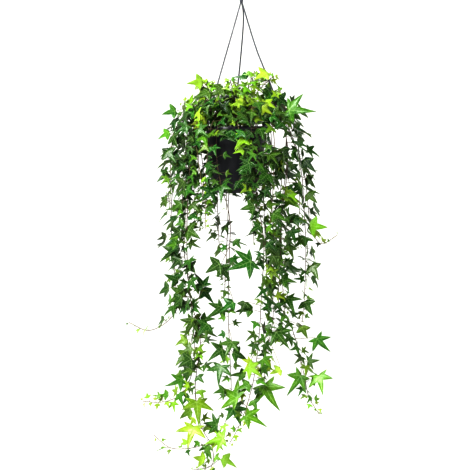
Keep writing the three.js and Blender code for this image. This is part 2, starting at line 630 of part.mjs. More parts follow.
// The blade without its petiole, open at its base, with the four corners there. A margin
// grows it, for testing.
function bladeMesh(leaf, margin = 0) {
  const across = new THREE.Vector3().crossVectors(leaf.tipWay, leaf.up);
  const half = BLADE_THICKNESS / 2 + margin;
  const grow = 1 + (1.5 * margin) / leaf.length;
  const place = ([a, f, h], side) => leaf.base.clone().addScaledVector(across, a * grow)
    .addScaledVector(leaf.tipWay, f * grow).addScaledVector(leaf.up, h + half * side);
  const edge = bladeEdge(leaf);
  const count = edge.length;
  const last = count - 1;
  const triangles = bladeFaces(count)
    .flatMap(([a, b, c]) => [[a, b, c], [a + count, c + count, b + count]]);
  for (let i = 0; i < last; i += 1) {
    triangles.push([i, i + count, i + 1], [i + 1, i + count, i + 1 + count]);
  }
  return {
    vertices: [...edge.map((p) => place(p, 1)), ...edge.map((p) => place(p, -1))],
    triangles,
    ends: [0, last, count, last + count],
  };
}

// The petiole's sides, from the blade's end corners to the corners of its foot.
const petioleFaces = ([rightTop, leftTop, rightLow, leftLow], [right, below, left]) => [
  [leftTop, left, right], [leftTop, right, rightTop], [leftLow, rightLow, below],
  [leftTop, leftLow, left], [left, leftLow, below], [right, below, rightTop],
  [rightTop, below, rightLow],
];

// A leaf by itself. For testing it against its own stem, its foot is lifted off its seat.
function leafSolid(leaf, margin = 0, lift = 0) {
  const { vertices, triangles, ends } = bladeMesh(leaf, margin);
  const middle = middleOf(leaf.seat);
  const foot = [0, 1, 2].map((i) => i + vertices.length);
  vertices.push(...leaf.seat.map((p) => p.clone().lerp(middle, lift ? 0 : -2 * margin)
    .addScaledVector(leaf.normal, lift)));
  triangles.push(...petioleFaces(ends, foot), foot.reverse());
  return solidOf(closedGeometry(vertices, triangles));
}

// Whether the petiole, all but its end at the blade, crosses the blade.
function crossesItself(leaf) {
  const { vertices, triangles, ends } = bladeMesh(leaf);
  const [rightTop, leftTop, rightLow, leftLow] = ends;
  triangles.push([leftTop, leftLow, rightTop], [rightTop, leftLow, rightLow]);
  const middle = middleOf(leaf.seat);
  const end = ends.map((i) => vertices[i].clone().lerp(middle, 0.15));
  const petiole = closedGeometry([...end, ...leaf.seat],
    [...petioleFaces([0, 1, 2, 3], [4, 5, 6]), [6, 5, 4], [0, 3, 1], [2, 3, 0]]);
  return !solidOf(closedGeometry(vertices, triangles)).intersect(solidOf(petiole)).isEmpty();
}

// What is already in place, with the box round each solid for a quick first look
class Placed {
  constructor() {
    this.items = [];
  }

  add(solid, owner, isStem = false) {
    this.items.push({ solid, owner, isStem, box: solid.boundingBox() });
  }

  isClear(solid, ofWhich = () => true) {
    const box = solid.boundingBox();
    const near = (other) => [0, 1, 2].every((k) => box.min[k] < other.max[k] && other.min[k] < box.max[k]);
    return this.items.every((item) => !near(item.box) || !ofWhich(item)
      || solid.intersect(item.solid).isEmpty());
  }

  leafIsClear(leaf, owner) {
    const isOwnStem = (item) => item.isStem && item.owner === owner;
    return this.isClear(leafSolid(leaf, LEAF_GAP), (item) => !isOwnStem(item))
      && this.isClear(leafSolid(leaf, LEAF_GAP, SEAT_LIFT), isOwnStem);
  }
}

// Growing the plant round the pot and the hanger

const placed = new Placed();
const pot = makePot();
const hanger = makeHanger();
placed.add(pot, 'pot');
placed.add(hanger, 'hanger');
placed.add(makeSoil([]).translate([0, 0, -STEM_DEPTH - 4]), 'soil under the stems');

function growStem(maker) {
  for (let attempt = 0; attempt < STEM_TRIES; attempt += 1) {
    const stem = maker(attempt);
    if (placed.isClear(stem.solid(false, LEAF_GAP))) {
      placed.add(stem.solid(false), stem.name, true);
      return stem;
    }
  }
  throw new Error('no clear course for ' + maker(0).name);
}

function growLeaf(stem, leaf) {
  if (!leaf.isPlainToSee && closesGap(leaf)) return false;
  if (!stem.seatLeaf(leaf) || crossesItself(leaf) || !placed.leafIsClear(leaf, stem.name)) return false;
  if (!stem.isSoundWith(leaf)) return false;
  placed.add(leafSolid(leaf), stem.name);
  stem.leaves.set(nodeKey(leaf.ring, leaf.side), leaf);
  return true;
}

const stems = [
  ...SEEN_VINES.map((vine) => growStem((attempt) => seenVine(vine, attempt))),
  ...RING_VINES.map((vine, i) => growStem((attempt) => ringVine(vine, i, attempt))),
  ...CROWN_SHOOTS.map((shoot, i) => growStem((attempt) => crownShoot(shoot, i, attempt))),
];
placed.add(makeSoil([]), 'soil');
SEEN_LEAVES.forEach((row, i) => {
  const stem = stems.find(({ name }) => name === row[0]);
  let attempt = 0;
  while (attempt < SEEN_LEAF_TRIES && !growLeaf(stem, seenLeaf(stem, row, i, attempt))) attempt += 1;
  if (attempt === SEEN_LEAF_TRIES) throw new Error('no room for a leaf on ' + row[0]);
});
const mostNodes = Math.max(...stems.map((stem) => stem.steps));
for (let ring = 1; ring < mostNodes; ring += 1) {
  stems.forEach((stem, i) => {
    let attempt = ring < stem.steps ? 0 : LEAF_TRIES;
    while (attempt < LEAF_TRIES && !growLeaf(stem, leafPlace(stem, i, ring, attempt))) attempt += 1;
  });
}

const charcoal = new THREE.MeshStandardMaterial({ color: '#2b2d34', roughness: 0.55 });
const greyPlastic = new THREE.MeshStandardMaterial({ color: '#45484d', roughness: 0.45 });
const peat = new THREE.MeshStandardMaterial({ color: '#2b1d13', roughness: 0.95 });
const ivyGreen = new THREE.MeshStandardMaterial({ color: '#3a7a1e', roughness: 0.4 });

const hangingIvy = new THREE.Group();
hangingIvy.position.set(-APEX_SHIFT, 0, -RIM_DROP);
hangingIvy.add(meshOf('pot', pot, charcoal));
hangingIvy.add(meshOf('hanger', hanger, greyPlastic));
hangingIvy.add(meshOf('soil', makeSoil(stems), peat));
stems.forEach((stem) => hangingIvy.add(meshOf(stem.name, stem.solid(true), ivyGreen)));

export default hangingIvy;
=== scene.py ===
"""Hanging English ivy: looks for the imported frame.

The pot, the hanger, the soil and every leafy stem of the frame are replaced by finer
pieces of the same form. The courses of the stems and the places of their leaves are read
from the frame's own solids, so the finer plant stands exactly where they do.
"""

import json
import math
import random

import bpy
import numpy as np
from bpy.props import FloatProperty, FloatVectorProperty, IntProperty, PointerProperty
from mathutils import Matrix, Vector, noise
from mathutils.bvhtree import BVHTree

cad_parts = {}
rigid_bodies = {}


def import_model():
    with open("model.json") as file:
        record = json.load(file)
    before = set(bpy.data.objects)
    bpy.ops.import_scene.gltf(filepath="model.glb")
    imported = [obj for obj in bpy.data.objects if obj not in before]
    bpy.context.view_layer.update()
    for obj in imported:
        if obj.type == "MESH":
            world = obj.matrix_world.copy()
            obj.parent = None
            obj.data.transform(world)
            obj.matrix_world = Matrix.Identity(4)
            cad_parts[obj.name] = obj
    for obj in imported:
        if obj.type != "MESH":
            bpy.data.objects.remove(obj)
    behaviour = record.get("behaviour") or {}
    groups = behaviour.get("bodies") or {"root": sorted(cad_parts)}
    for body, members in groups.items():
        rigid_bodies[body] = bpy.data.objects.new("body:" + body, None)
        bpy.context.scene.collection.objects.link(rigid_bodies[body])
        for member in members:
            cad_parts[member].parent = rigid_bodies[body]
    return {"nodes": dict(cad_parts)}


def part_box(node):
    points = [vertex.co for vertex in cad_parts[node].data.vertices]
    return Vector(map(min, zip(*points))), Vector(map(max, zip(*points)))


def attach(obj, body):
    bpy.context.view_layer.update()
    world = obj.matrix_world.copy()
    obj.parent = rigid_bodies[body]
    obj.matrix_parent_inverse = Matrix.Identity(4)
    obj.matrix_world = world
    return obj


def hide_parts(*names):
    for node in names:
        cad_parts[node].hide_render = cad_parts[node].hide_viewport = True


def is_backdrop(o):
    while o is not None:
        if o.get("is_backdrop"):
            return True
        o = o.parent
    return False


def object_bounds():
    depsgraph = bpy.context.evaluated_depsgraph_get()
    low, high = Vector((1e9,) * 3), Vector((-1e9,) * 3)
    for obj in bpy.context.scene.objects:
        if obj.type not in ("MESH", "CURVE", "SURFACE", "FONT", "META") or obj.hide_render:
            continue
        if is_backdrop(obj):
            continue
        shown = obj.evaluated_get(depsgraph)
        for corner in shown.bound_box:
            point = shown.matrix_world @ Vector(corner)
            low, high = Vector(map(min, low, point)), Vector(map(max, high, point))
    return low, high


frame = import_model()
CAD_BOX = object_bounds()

bl_info = {
    "name": "Hanging Ivy",
    "version": (1, 0, 0),
    "blender": (4, 5, 0),
    "location": "View3D > Sidebar > Ivy",
    "description": "A trailing English ivy in a hanging plastic pot",
    "category": "Object",
}

POT_LOW, POT_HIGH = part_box("pot")
RIM_MIDDLE = Vector(((POT_LOW.x + POT_HIGH.x) / 2, (POT_LOW.y + POT_HIGH.y) / 2, POT_HIGH.z))
LEAFY_NODES = [name for name in frame["nodes"] if name.startswith(("vine_", "shoot_"))]

# What the frame's leafy solids are made of, in metres
STEM_SIDE = 0.0014 * math.sqrt(3)  # between the corners of a three-sided stem
BLADE_THICKNESS = 0.0007
SAME = 2e-6  # lengths that differ less are the same
FIVE_LOBED_CORNERS = 22  # corners of both faces of a blade with five lobes
BASE_SETBACK = {3: 0.0582, 5: 0.0489}  # from the blade's end to its base, as a share of its length

# How the pot's body flares: how far outside the foot's radius, and how high above the foot
BODY_FLARE = [(0.005, 0.008), (0.013, 0.037), (0.019, 0.072)]
FLOOR_RISE = 0.0006  # of the pot's floor above the thickness of its wall

# Where the foliage is open when seen from the front, in metres from the rim's middle: least
# and most x, least and most z, the depth y in front of which that holds, and the share of the
# small leaves that hang there
BEFORE_POT, RIGHT_THROUGH = -0.04, 0.2
OPEN = [
    ((-0.060, 0.052), (-0.013, 0.001), BEFORE_POT, 0),
    ((0.084, 0.113), (-0.046, -0.004), RIGHT_THROUGH, 0),
    ((-0.088, -0.073), (-0.160, -0.030), RIGHT_THROUGH, 0),
    ((-0.042, 0.014), (-0.224, -0.168), RIGHT_THROUGH, 0.1),
    ((-0.006, 0.056), (-0.388, -0.342), RIGHT_THROUGH, 0.1),
    ((0.075, 0.240), (-0.200, 0.005), RIGHT_THROUGH, 0.36),
    ((-0.060, -0.012), (-0.135, -0.030), BEFORE_POT, 0.4),
]

# Where new leaves stand when seen from the front: x and z in metres from the rim's middle, and
# how far round it
NEW_GROWTH = [
    (0.067, 0.125, 0.030), (-0.018, 0.120, 0.020), (-0.098, 0.101, 0.022),
    (0.006, 0.057, 0.015), (-0.081, 0.014, 0.019), (0.011, -0.045, 0.018),
    (0.129, -0.175, 0.020), (0.197, -0.253, 0.022), (-0.225, -0.470, 0.030),
    (0.096, -0.569, 0.022), (-0.037, -0.559, 0.020), (0.037, -0.566, 0.015),
    (-0.100, -0.656, 0.020), (0.030, -0.689, 0.022), (-0.105, -0.717, 0.028),
    (-0.040, -0.733, 0.028), (-0.030, -0.779, 0.030), (-0.089, -0.786, 0.025),
]


def linear(colour):
    """A colour as eight-bit sRGB hex, such as "#3a7a1e", in Blender's linear numbers."""
    shares = [int(colour[i:i + 2], 16) / 255 for i in (1, 3, 5)]
    return tuple(s / 12.92 if s <= 0.04045 else ((s + 0.055) / 1.055) ** 2.4 for s in shares)


def colour_property(name, description, colour):
    return FloatVectorProperty(name=name, description=description, subtype="COLOR", size=3,
                               min=0, max=1, default=linear(colour))


def length_property(name, description, millimetres, least=0.0):
    return FloatProperty(name=name, description=description, unit="LENGTH", subtype="DISTANCE",
                         min=least, default=millimetres / 1000)


class PotSettings(bpy.types.PropertyGroup):
    rim_radius: length_property("Rim radius", "Outside radius of the rim", 75)
    base_radius: length_property("Base radius", "Outside radius of the foot", 47)
    height: length_property("Height", "From the foot to the top of the rim", 157)
    wall: length_property("Wall", "Thickness of the moulded wall", 1.6, 0.0005)
    band_height: length_property("Band height", "Height of the down-turned band at the rim", 12)
    band_gap: length_property("Band gap", "Space between the band and the body", 3.8)
    lip: length_property("Lip", "Rounding of the band's outside at the top", 3)
    drain_radius: length_property("Drain radius", "Radius of the holes in the floor", 4)
    drain_ring: length_property("Drain ring", "From the pot's axis to the holes", 28)
    sides: IntProperty(name="Sides", description="Facets round the pot", min=24, default=96)
    colour: colour_property("Colour", "Charcoal of the moulded plastic", "#15161b")


class HangerSettings(bpy.types.PropertyGroup):
    rod_radius: length_property("Rod radius", "Radius of the three legs", 1.65)
    hook_radius: length_property("Hook radius", "Radius of the hook's middle line", 14.2)
    hook_rod: length_property("Hook rod", "Radius of the hook's bar", 2.15)
    hub_radius: length_property("Hub radius", "Radius of the hub that joins the legs", 4.6)
    clip_width: length_property("Clip width", "Width of the clips under the rim", 7)
    colour: colour_property("Colour", "Grey of the moulded plastic", "#3b3d42")


class SoilSettings(bpy.types.PropertyGroup):
    below_rim: length_property("Below the rim", "Depth of the soil's edge under the rim", 13)
    mound: length_property("Mound", "Rise of the soil towards the middle", 7)
    crumb: length_property("Crumb", "Height of the crumbly relief", 1.4)
    crumbs: IntProperty(name="Crumbs", description="Loose crumbs on the soil", min=0, default=130)
    grains: IntProperty(name="Perlite", description="Grains of perlite", min=0, default=34)
    colour: colour_property("Colour", "Moist peat", "#2a1c13")


class IvySettings(bpy.types.PropertyGroup):
    stem_radius: length_property("Stem radius", "Radius of a stem at its root", 1.1, 0.0003)
    tip_radius: length_property("Tip radius", "Radius of a stem at its tip", 0.75, 0.0002)
    petiole_radius: length_property("Petiole radius", "Radius of the leaf stalks", 0.55, 0.0002)
    spare_gap: length_property("Leaf spacing", "Between the small leaves along a stem", 12.5, 0.005)
    tries: IntProperty(name="Tries", description="Tries to place a small leaf clear of the others",
                       min=1, default=14)
    dark: colour_property("Old leaf", "Oldest leaves", "#0a2708")
    middle: colour_property("Leaf", "Leaves of middle age", "#20500f")
    fresh: colour_property("Fresh leaf", "This season's leaves", "#5c8a14")
    young: colour_property("Young leaf", "Leaves that have just opened", "#70a23f")
    vein: colour_property("Vein", "Veins of the upper side", "#9db577")
    bark: colour_property("Bark", "Old stems", "#3b2a21")
    green_stem: colour_property("Green stem", "Young stems and leaf stalks", "#665c34")


class StageSettings(bpy.types.PropertyGroup):
    distance: length_property("Camera distance", "From the lens to the plant", 7000)
    view_height: length_property("View", "Height that the picture takes in", 1110)
    floor_drop: length_property("Floor drop", "From the lowest leaf to the floor", 600)
    room: length_property("Room", "Radius of the round studio", 13000)
    wall: length_property("Wall", "Height of the studio's wall", 8000)
    sweep: length_property("Sweep", "Radius of the curve from the floor to the wall", 3500)
    light: FloatProperty(name="Key light", description="Power of the large light", unit="POWER",
                         min=0, default=300)
    air: FloatProperty(name="Air", description="Light from all sides", min=0, default=0.1)
    white: colour_property("White", "Floor and backdrop", "#d2d2d0")


GROUPS = {"pot": PotSettings, "hanger": HangerSettings, "soil": SoilSettings,
          "ivy": IvySettings, "stage": StageSettings}


class HangingIvySettings(bpy.types.PropertyGroup):
    pot: PointerProperty(type=PotSettings)
    hanger: PointerProperty(type=HangerSettings)
    soil: PointerProperty(type=SoilSettings)
    ivy: PointerProperty(type=IvySettings)
    stage: PointerProperty(type=StageSettings)


def settings(group):
    return getattr(bpy.context.scene.hanging_ivy, group)


# Modelling by hand, in code


def begin():
    """Object mode with nothing selected."""
    if bpy.context.object and bpy.context.object.mode == "EDIT":
        bpy.ops.object.mode_set(mode="OBJECT")
    bpy.ops.object.select_all(action="DESELECT")


def select(*pieces):
    begin()
    for piece in pieces:
        piece.select_set(True)
    bpy.context.view_layer.objects.active = pieces[0]


def edit(piece, select_mode="VERT", action="SELECT"):
    """Edit mode with all of the piece selected, or nothing."""
    select(piece)
    bpy.ops.object.mode_set(mode="EDIT")
    bpy.ops.mesh.select_mode(type=select_mode)
    bpy.ops.mesh.select_all(action=action)


def pick(piece, test):
    """In edit mode, selects the vertices whose place passes the test, and what they bound."""
    bpy.ops.object.mode_set(mode="OBJECT")
    for vertex in piece.data.vertices:
        vertex.select = test(vertex.co)
    for edge in piece.data.edges:
        edge.select = all(piece.data.vertices[i].select for i in edge.vertices)
    for face in piece.data.polygons:
        face.select = all(piece.data.vertices[i].select for i in face.vertices)
    bpy.ops.object.mode_set(mode="EDIT")


def apply_modifier(piece, kind, **values):
    select(piece)
    modifier = piece.modifiers.new(kind.title(), kind)
    for name, value in values.items():
        setattr(modifier, name, value)
    bpy.ops.object.modifier_apply(modifier=modifier.name)


def close_up(piece):
    """Welds the seams of a shaped piece and turns its faces outwards."""
    edit(piece)
    bpy.ops.mesh.remove_doubles(threshold=1e-6)
    bpy.ops.mesh.normals_make_consistent(inside=False)
    begin()


def at_origin(piece):
    """Puts the piece's place, turn and size into its mesh."""
    select(piece)
    bpy.ops.object.transform_apply(location=True, rotation=True, scale=True)


def smooth(piece, degrees=30):
    select(piece)
    bpy.ops.object.shade_smooth_by_angle(angle=math.radians(degrees))


def add_piece(name, mesh):
    piece = bpy.data.objects.new(name, mesh)
    bpy.context.scene.collection.objects.link(piece)
    return piece


def places_in(mesh):
    places = np.empty(len(mesh.vertices) * 3)
    mesh.vertices.foreach_get("co", places)
    return places.reshape(-1, 3)


def faces_in(mesh):
    return [tuple(face.vertices) for face in mesh.polygons]


def join(name, pieces):
    select(*pieces)
    if len(pieces) > 1:
        bpy.ops.object.join()
    joined = bpy.context.object
    joined.name = joined.data.name = name
    return joined


def cut(piece, tool, operation="DIFFERENCE"):
    apply_modifier(piece, "BOOLEAN", object=tool, operation=operation, solver="EXACT")
    bpy.data.objects.remove(tool)


def turned(name, sides, profile):
    """A turned piece round the pot's axis: a disc drawn out along the profile, whose points are
    radii and heights over the rim."""
    (radius, height), *steps = profile
    begin()
    bpy.ops.mesh.primitive_circle_add(vertices=sides, radius=radius, fill_type="NGON",
                                      location=RIM_MIDDLE + Vector((0, 0, height)))
    piece = bpy.context.object
    edit(piece, "FACE")
    for next_radius, next_height in steps:
        bpy.ops.mesh.extrude_region_move(
            TRANSFORM_OT_translate={"value": (0, 0, next_height - height)})
        scale = next_radius / radius
        bpy.ops.transform.resize(value=(scale, scale, 1),
                                 center_override=RIM_MIDDLE + Vector((0, 0, next_height)))
        radius, height = next_radius, next_height
    begin()
    piece.name = piece.data.name = name
    at_origin(piece)
    close_up(piece)
    return piece


def smooth_path(points, spacing):
    """A centripetal curve through the points, as points about that far apart."""
    points = [np.array(p, float) for p in points]
    before, after = 2 * points[0] - points[1], 2 * points[-1] - points[-2]
    padded = [before, *points, after]
    path = [points[0]]
    for p0, p1, p2, p3 in zip(padded, padded[1:], padded[2:], padded[3:]):
        t0, t1, t2 = (np.linalg.norm(b - a) ** 0.5 for a, b in ((p0, p1), (p1, p2), (p2, p3)))
        slope1 = ((p1 - p0) / t0 - (p2 - p0) / (t0 + t1) + (p2 - p1) / t1) * t1
        slope2 = ((p2 - p1) / t1 - (p3 - p1) / (t1 + t2) + (p3 - p2) / t2) * t1
        count = max(2, round(np.linalg.norm(p2 - p1) / spacing))
        for t in np.linspace(0, 1, count + 1)[1:]:
            path.append((2 * t**3 - 3 * t**2 + 1) * p1 + (t**3 - 2 * t**2 + t) * slope1
                        + (3 * t**2 - 2 * t**3) * p2 + (t**3 - t**2) * slope2)
    return np.array(path)


def rod(name, path, radii, sides):
    """A round rod along a path: a curve with a bevel, made into a mesh with closed ends."""
    begin()
    bpy.ops.curve.primitive_nurbs_path_add(location=(0, 0, 0))
    piece = bpy.context.object
    curve = piece.data
    curve.splines.clear()
    spline = curve.splines.new("POLY")
    spline.points.add(len(path) - 1)
    spline.points.foreach_set("co", np.column_stack([path, np.ones(len(path))]).ravel())
    spline.points.foreach_set("radius", np.asarray(radii, float))
    curve.bevel_depth = 1
    curve.bevel_resolution = sides // 2 - 2
    curve.use_fill_caps = True
    bpy.ops.object.convert(target="MESH")
    piece = bpy.context.object
    piece.name = piece.data.name = name
    close_up(piece)
    return piece


# Materials


def set_inputs(tree, node, inputs):
    """Sets a node's inputs, each to a value or to the output that feeds it."""
    for name, value in inputs.items():
        if isinstance(value, bpy.types.NodeSocket):
            tree.links.new(value, node.inputs[name])
        else:
            node.inputs[name].default_value = value


def add_node(tree, kind, inputs, output=0, **options):
    """Adds a node with its options and inputs, and gives the output that is asked for."""
    node = tree.nodes.new(kind)
    for name, value in options.items():
        setattr(node, name, value)
    set_inputs(tree, node, inputs)
    return node.outputs[output]


def new_material(name):
    """A new material with its tree, its one shader and the place on the piece, in metres, that
    its patterns follow."""
    material = bpy.data.materials.new(name)
    material.use_nodes = True
    tree = material.node_tree
    place = add_node(tree, "ShaderNodeTexCoord", {}, "Object")
    return material, tree, tree.nodes["Principled BSDF"], place


def moulded_polypropylene(name, colour, grain=0.4, roughness=0.42):
    """Injection-moulded polypropylene: a soft, slightly waxy gloss over the fine spark-eroded
    grain of the mould, here in millimetres, with faint flow clouds and dust that dulls it in
    patches."""
    material, tree, shader, place = new_material(name)
    grit = add_node(tree, "ShaderNodeTexNoise",
                    {"Vector": place, "Scale": 1000 / grain / 2, "Detail": 2})
    clouds = add_node(tree, "ShaderNodeTexNoise",
                      {"Vector": place, "Scale": 45, "Detail": 4, "Roughness": 0.6})
    dulled = add_node(tree, "ShaderNodeMapRange",
                      {"Value": clouds, "To Min": roughness - 0.08, "To Max": roughness + 0.14})
    tint = add_node(tree, "ShaderNodeMapRange", {"Value": clouds, "From Min": 0.3,
                                                 "From Max": 0.7, "To Min": 0.82, "To Max": 1.22})
    base = add_node(tree, "ShaderNodeMix", {0: 1, 6: (*colour, 1), 7: tint}, 2,
                    data_type="RGBA", blend_type="MULTIPLY")
    bump = add_node(tree, "ShaderNodeBump",
                    {"Height": grit, "Strength": 0.25, "Distance": 0.00012})
    set_inputs(tree, shader, {"Base Color": base, "Roughness": dulled, "Normal": bump,
                              "IOR": 1.49, "Specular IOR Level": 0.35})
    return material


def moist_peat(name, colour):
    """Moist peat: nearly black crumbs and fibres of 1 to 3 mm with no gloss, paler where dry."""
    material, tree, shader, place = new_material(name)
    crumbs = add_node(tree, "ShaderNodeTexVoronoi", {"Vector": place, "Scale": 420})
    fibres = add_node(tree, "ShaderNodeTexNoise",
                      {"Vector": place, "Scale": 900, "Detail": 5, "Distortion": 1.5})
    dry = add_node(tree, "ShaderNodeTexNoise", {"Vector": place, "Scale": 60, "Detail": 3})
    paler = add_node(tree, "ShaderNodeMapRange", {"Value": dry, "From Min": 0.45,
                                                  "From Max": 0.75, "To Min": 0.5, "To Max": 2.6})
    base = add_node(tree, "ShaderNodeMix", {0: 1, 6: (*colour, 1), 7: paler}, 2,
                    data_type="RGBA", blend_type="MULTIPLY")
    relief = add_node(tree, "ShaderNodeMath", {0: crumbs, 1: fibres}, operation="ADD")
    bump = add_node(tree, "ShaderNodeBump",
                    {"Height": relief, "Strength": 0.9, "Distance": 0.0012})
    set_inputs(tree, shader, {"Base Color": base, "Normal": bump, "Roughness": 0.95,
                              "Specular IOR Level": 0.25})
    return material


def expanded_perlite(name):
    """Expanded perlite: chalky white glass foam, rough, with painted shade that greys its pores
    about 0.7 mm apart.
    """
    material, tree, shader, place = new_material(name)
    # The grey spots are painted shade in the foam's pores, not a colour of the glass.
    painted_pore_shade = add_node(tree, "ShaderNodeTexVoronoi", {"Vector": place, "Scale": 1400})
    base = add_node(tree, "ShaderNodeMix", {0: painted_pore_shade, 6: (*linear("#8f8b82"), 1),
                                            7: (*linear("#e9e6dd"), 1)}, 2, data_type="RGBA")
    set_inputs(tree, shader, {"Base Color": base, "Roughness": 0.9, "IOR": 1.5})
    return material


def leaf_ages(tree, place, ivy):
    """The base colour of each leaf by the age that its corners carry, from old to young, and
    by its own tone, more yellow or more blue."""
    age = add_node(tree, "ShaderNodeAttribute", {}, "Fac", attribute_name="youth")
    patches = add_node(tree, "ShaderNodeTexNoise",
                       {"Vector": place, "Scale": 70, "Detail": 3, "Roughness": 0.55})
    drift = add_node(tree, "ShaderNodeMapRange", {"Value": patches, "From Min": 0.3,
                                                  "From Max": 0.7, "To Min": -0.07,
                                                  "To Max": 0.07})
    shown = add_node(tree, "ShaderNodeMath", {0: age, 1: drift}, operation="ADD")
    stops = [(ivy.dark, 0), (ivy.middle, 0.35), (ivy.fresh, 0.7), (ivy.young, 1)]
    colour = (*ivy.dark, 1)
    for (_, low), (shade, high) in zip(stops, stops[1:]):
        share = add_node(tree, "ShaderNodeMapRange",
                         {"Value": shown, "From Min": low, "From Max": high})
        colour = add_node(tree, "ShaderNodeMix", {0: share, 6: colour, 7: (*shade, 1)}, 2,
                          data_type="RGBA")
    tone = add_node(tree, "ShaderNodeAttribute", {}, "Fac", attribute_name="tone")
    return add_node(tree, "ShaderNodeHueSaturation", {"Hue": tone, "Color": colour})


def ivy_upper_side(name, ivy):
    """The upper side of an ivy leaf: a thick waxy cuticle with a satin gloss, puckered between
    pale sunken veins. The veins follow the blade's own map: across each lobe, then along it."""
    material, tree, shader, place = new_material(name)
    colour = leaf_ages(tree, place, ivy)
    blade = add_node(tree, "ShaderNodeUVMap", {}, uv_map="blade")
    across = add_node(tree, "ShaderNodeSeparateXYZ", {0: blade}, "X")
    along = add_node(tree, "ShaderNodeSeparateXYZ", {0: blade}, "Y")
    main_vein = add_node(tree, "ShaderNodeMapRange",
                         {"Value": across, "From Min": 0.075, "From Max": 0.015},
                         interpolation_type="SMOOTHSTEP")
    slant = add_node(tree, "ShaderNodeMath", {0: across, 1: -0.15, 2: along},
                     operation="MULTIPLY_ADD")
    wave = add_node(tree, "ShaderNodeMath", {0: slant, 1: 46}, operation="MULTIPLY")
    ripple = add_node(tree, "ShaderNodeMath", {0: wave}, operation="SINE")
    side_vein = add_node(tree, "ShaderNodeMapRange",
                         {"Value": ripple, "From Min": 0.86, "From Max": 1, "To Max": 0.55},
                         interpolation_type="SMOOTHSTEP")
    veins = add_node(tree, "ShaderNodeMath", {0: main_vein, 1: side_vein}, operation="MAXIMUM")
    share = add_node(tree, "ShaderNodeMath", {0: veins, 1: 0.42}, operation="MULTIPLY")
    base = add_node(tree, "ShaderNodeMix", {0: share, 6: colour, 7: (*ivy.vein, 1)}, 2,
                    data_type="RGBA")
    pucker = add_node(tree, "ShaderNodeTexNoise", {"Vector": place, "Scale": 330, "Detail": 2})
    relief = add_node(tree, "ShaderNodeMath", {0: veins, 1: -0.8, 2: pucker},
                      operation="MULTIPLY_ADD")
    bump = add_node(tree, "ShaderNodeBump",
                    {"Height": relief, "Strength": 0.55, "Distance": 0.0006})
    gloss = add_node(tree, "ShaderNodeMapRange",
                     {"Value": pucker, "To Min": 0.26, "To Max": 0.46})
    set_inputs(tree, shader, {"Base Color": base, "Roughness": gloss, "Normal": bump, "IOR": 1.42,
                              "Specular IOR Level": 0.24, "Coat Weight": 0.07,
                              "Coat Roughness": 0.18})
    return material


def ivy_underside(name, ivy):
    """The underside of an ivy leaf: matt, greyer and paler than the upper side, with the main
    veins standing out."""
    material, tree, shader, place = new_material(name)
    blade = add_node(tree, "ShaderNodeUVMap", {}, uv_map="blade")
    across = add_node(tree, "ShaderNodeSeparateXYZ", {0: blade}, "X")
    ribs = add_node(tree, "ShaderNodeMapRange",
                    {"Value": across, "From Min": 0.14, "From Max": 0.02},
                    interpolation_type="SMOOTHSTEP")
    paler = add_node(tree, "ShaderNodeMix", {0: 0.34, 6: leaf_ages(tree, place, ivy),
                                             7: (*linear("#8fae74"), 1)}, 2, data_type="RGBA")
    bump = add_node(tree, "ShaderNodeBump", {"Height": ribs, "Strength": 0.8, "Distance": 0.0006})
    set_inputs(tree, shader, {"Base Color": paler, "Normal": bump, "Roughness": 0.62,
                              "IOR": 1.42, "Specular IOR Level": 0.25})
    return material


def ivy_bark(name, ivy):
    """Ivy stem: a thin brown skin with fine cracks every 3 mm or so, green where it is young."""
    material, tree, shader, place = new_material(name)
    youth = add_node(tree, "ShaderNodeAttribute", {}, "Fac", attribute_name="youth")
    cracks = add_node(tree, "ShaderNodeTexNoise", {"Vector": place, "Scale": 300, "Detail": 4})
    shade = add_node(tree, "ShaderNodeMapRange", {"Value": cracks, "To Min": 0.6, "To Max": 1.4})
    aged = add_node(tree, "ShaderNodeMix", {0: youth, 6: (*ivy.bark, 1),
                                            7: (*ivy.green_stem, 1)}, 2, data_type="RGBA")
    base = add_node(tree, "ShaderNodeMix", {0: 1, 6: aged, 7: shade}, 2,
                    data_type="RGBA", blend_type="MULTIPLY")
    bump = add_node(tree, "ShaderNodeBump",
                    {"Height": cracks, "Strength": 0.5, "Distance": 0.0003})
    set_inputs(tree, shader, {"Base Color": base, "Normal": bump, "Roughness": 0.6, "IOR": 1.45})
    return material


def painted_white(name, colour):
    """Matt white paint on a studio floor and backdrop, which gives a soft, even white."""
    material, tree, shader, place = new_material(name)
    roller = add_node(tree, "ShaderNodeTexNoise", {"Vector": place, "Scale": 40, "Detail": 2})
    shade = add_node(tree, "ShaderNodeMapRange", {"Value": roller, "To Min": 0.985})
    base = add_node(tree, "ShaderNodeMix", {0: 1, 6: (*colour, 1), 7: shade}, 2,
                    data_type="RGBA", blend_type="MULTIPLY")
    set_inputs(tree, shader, {"Base Color": base, "Roughness": 0.9, "IOR": 1.4})
    return material


# Pot, hanger and soil


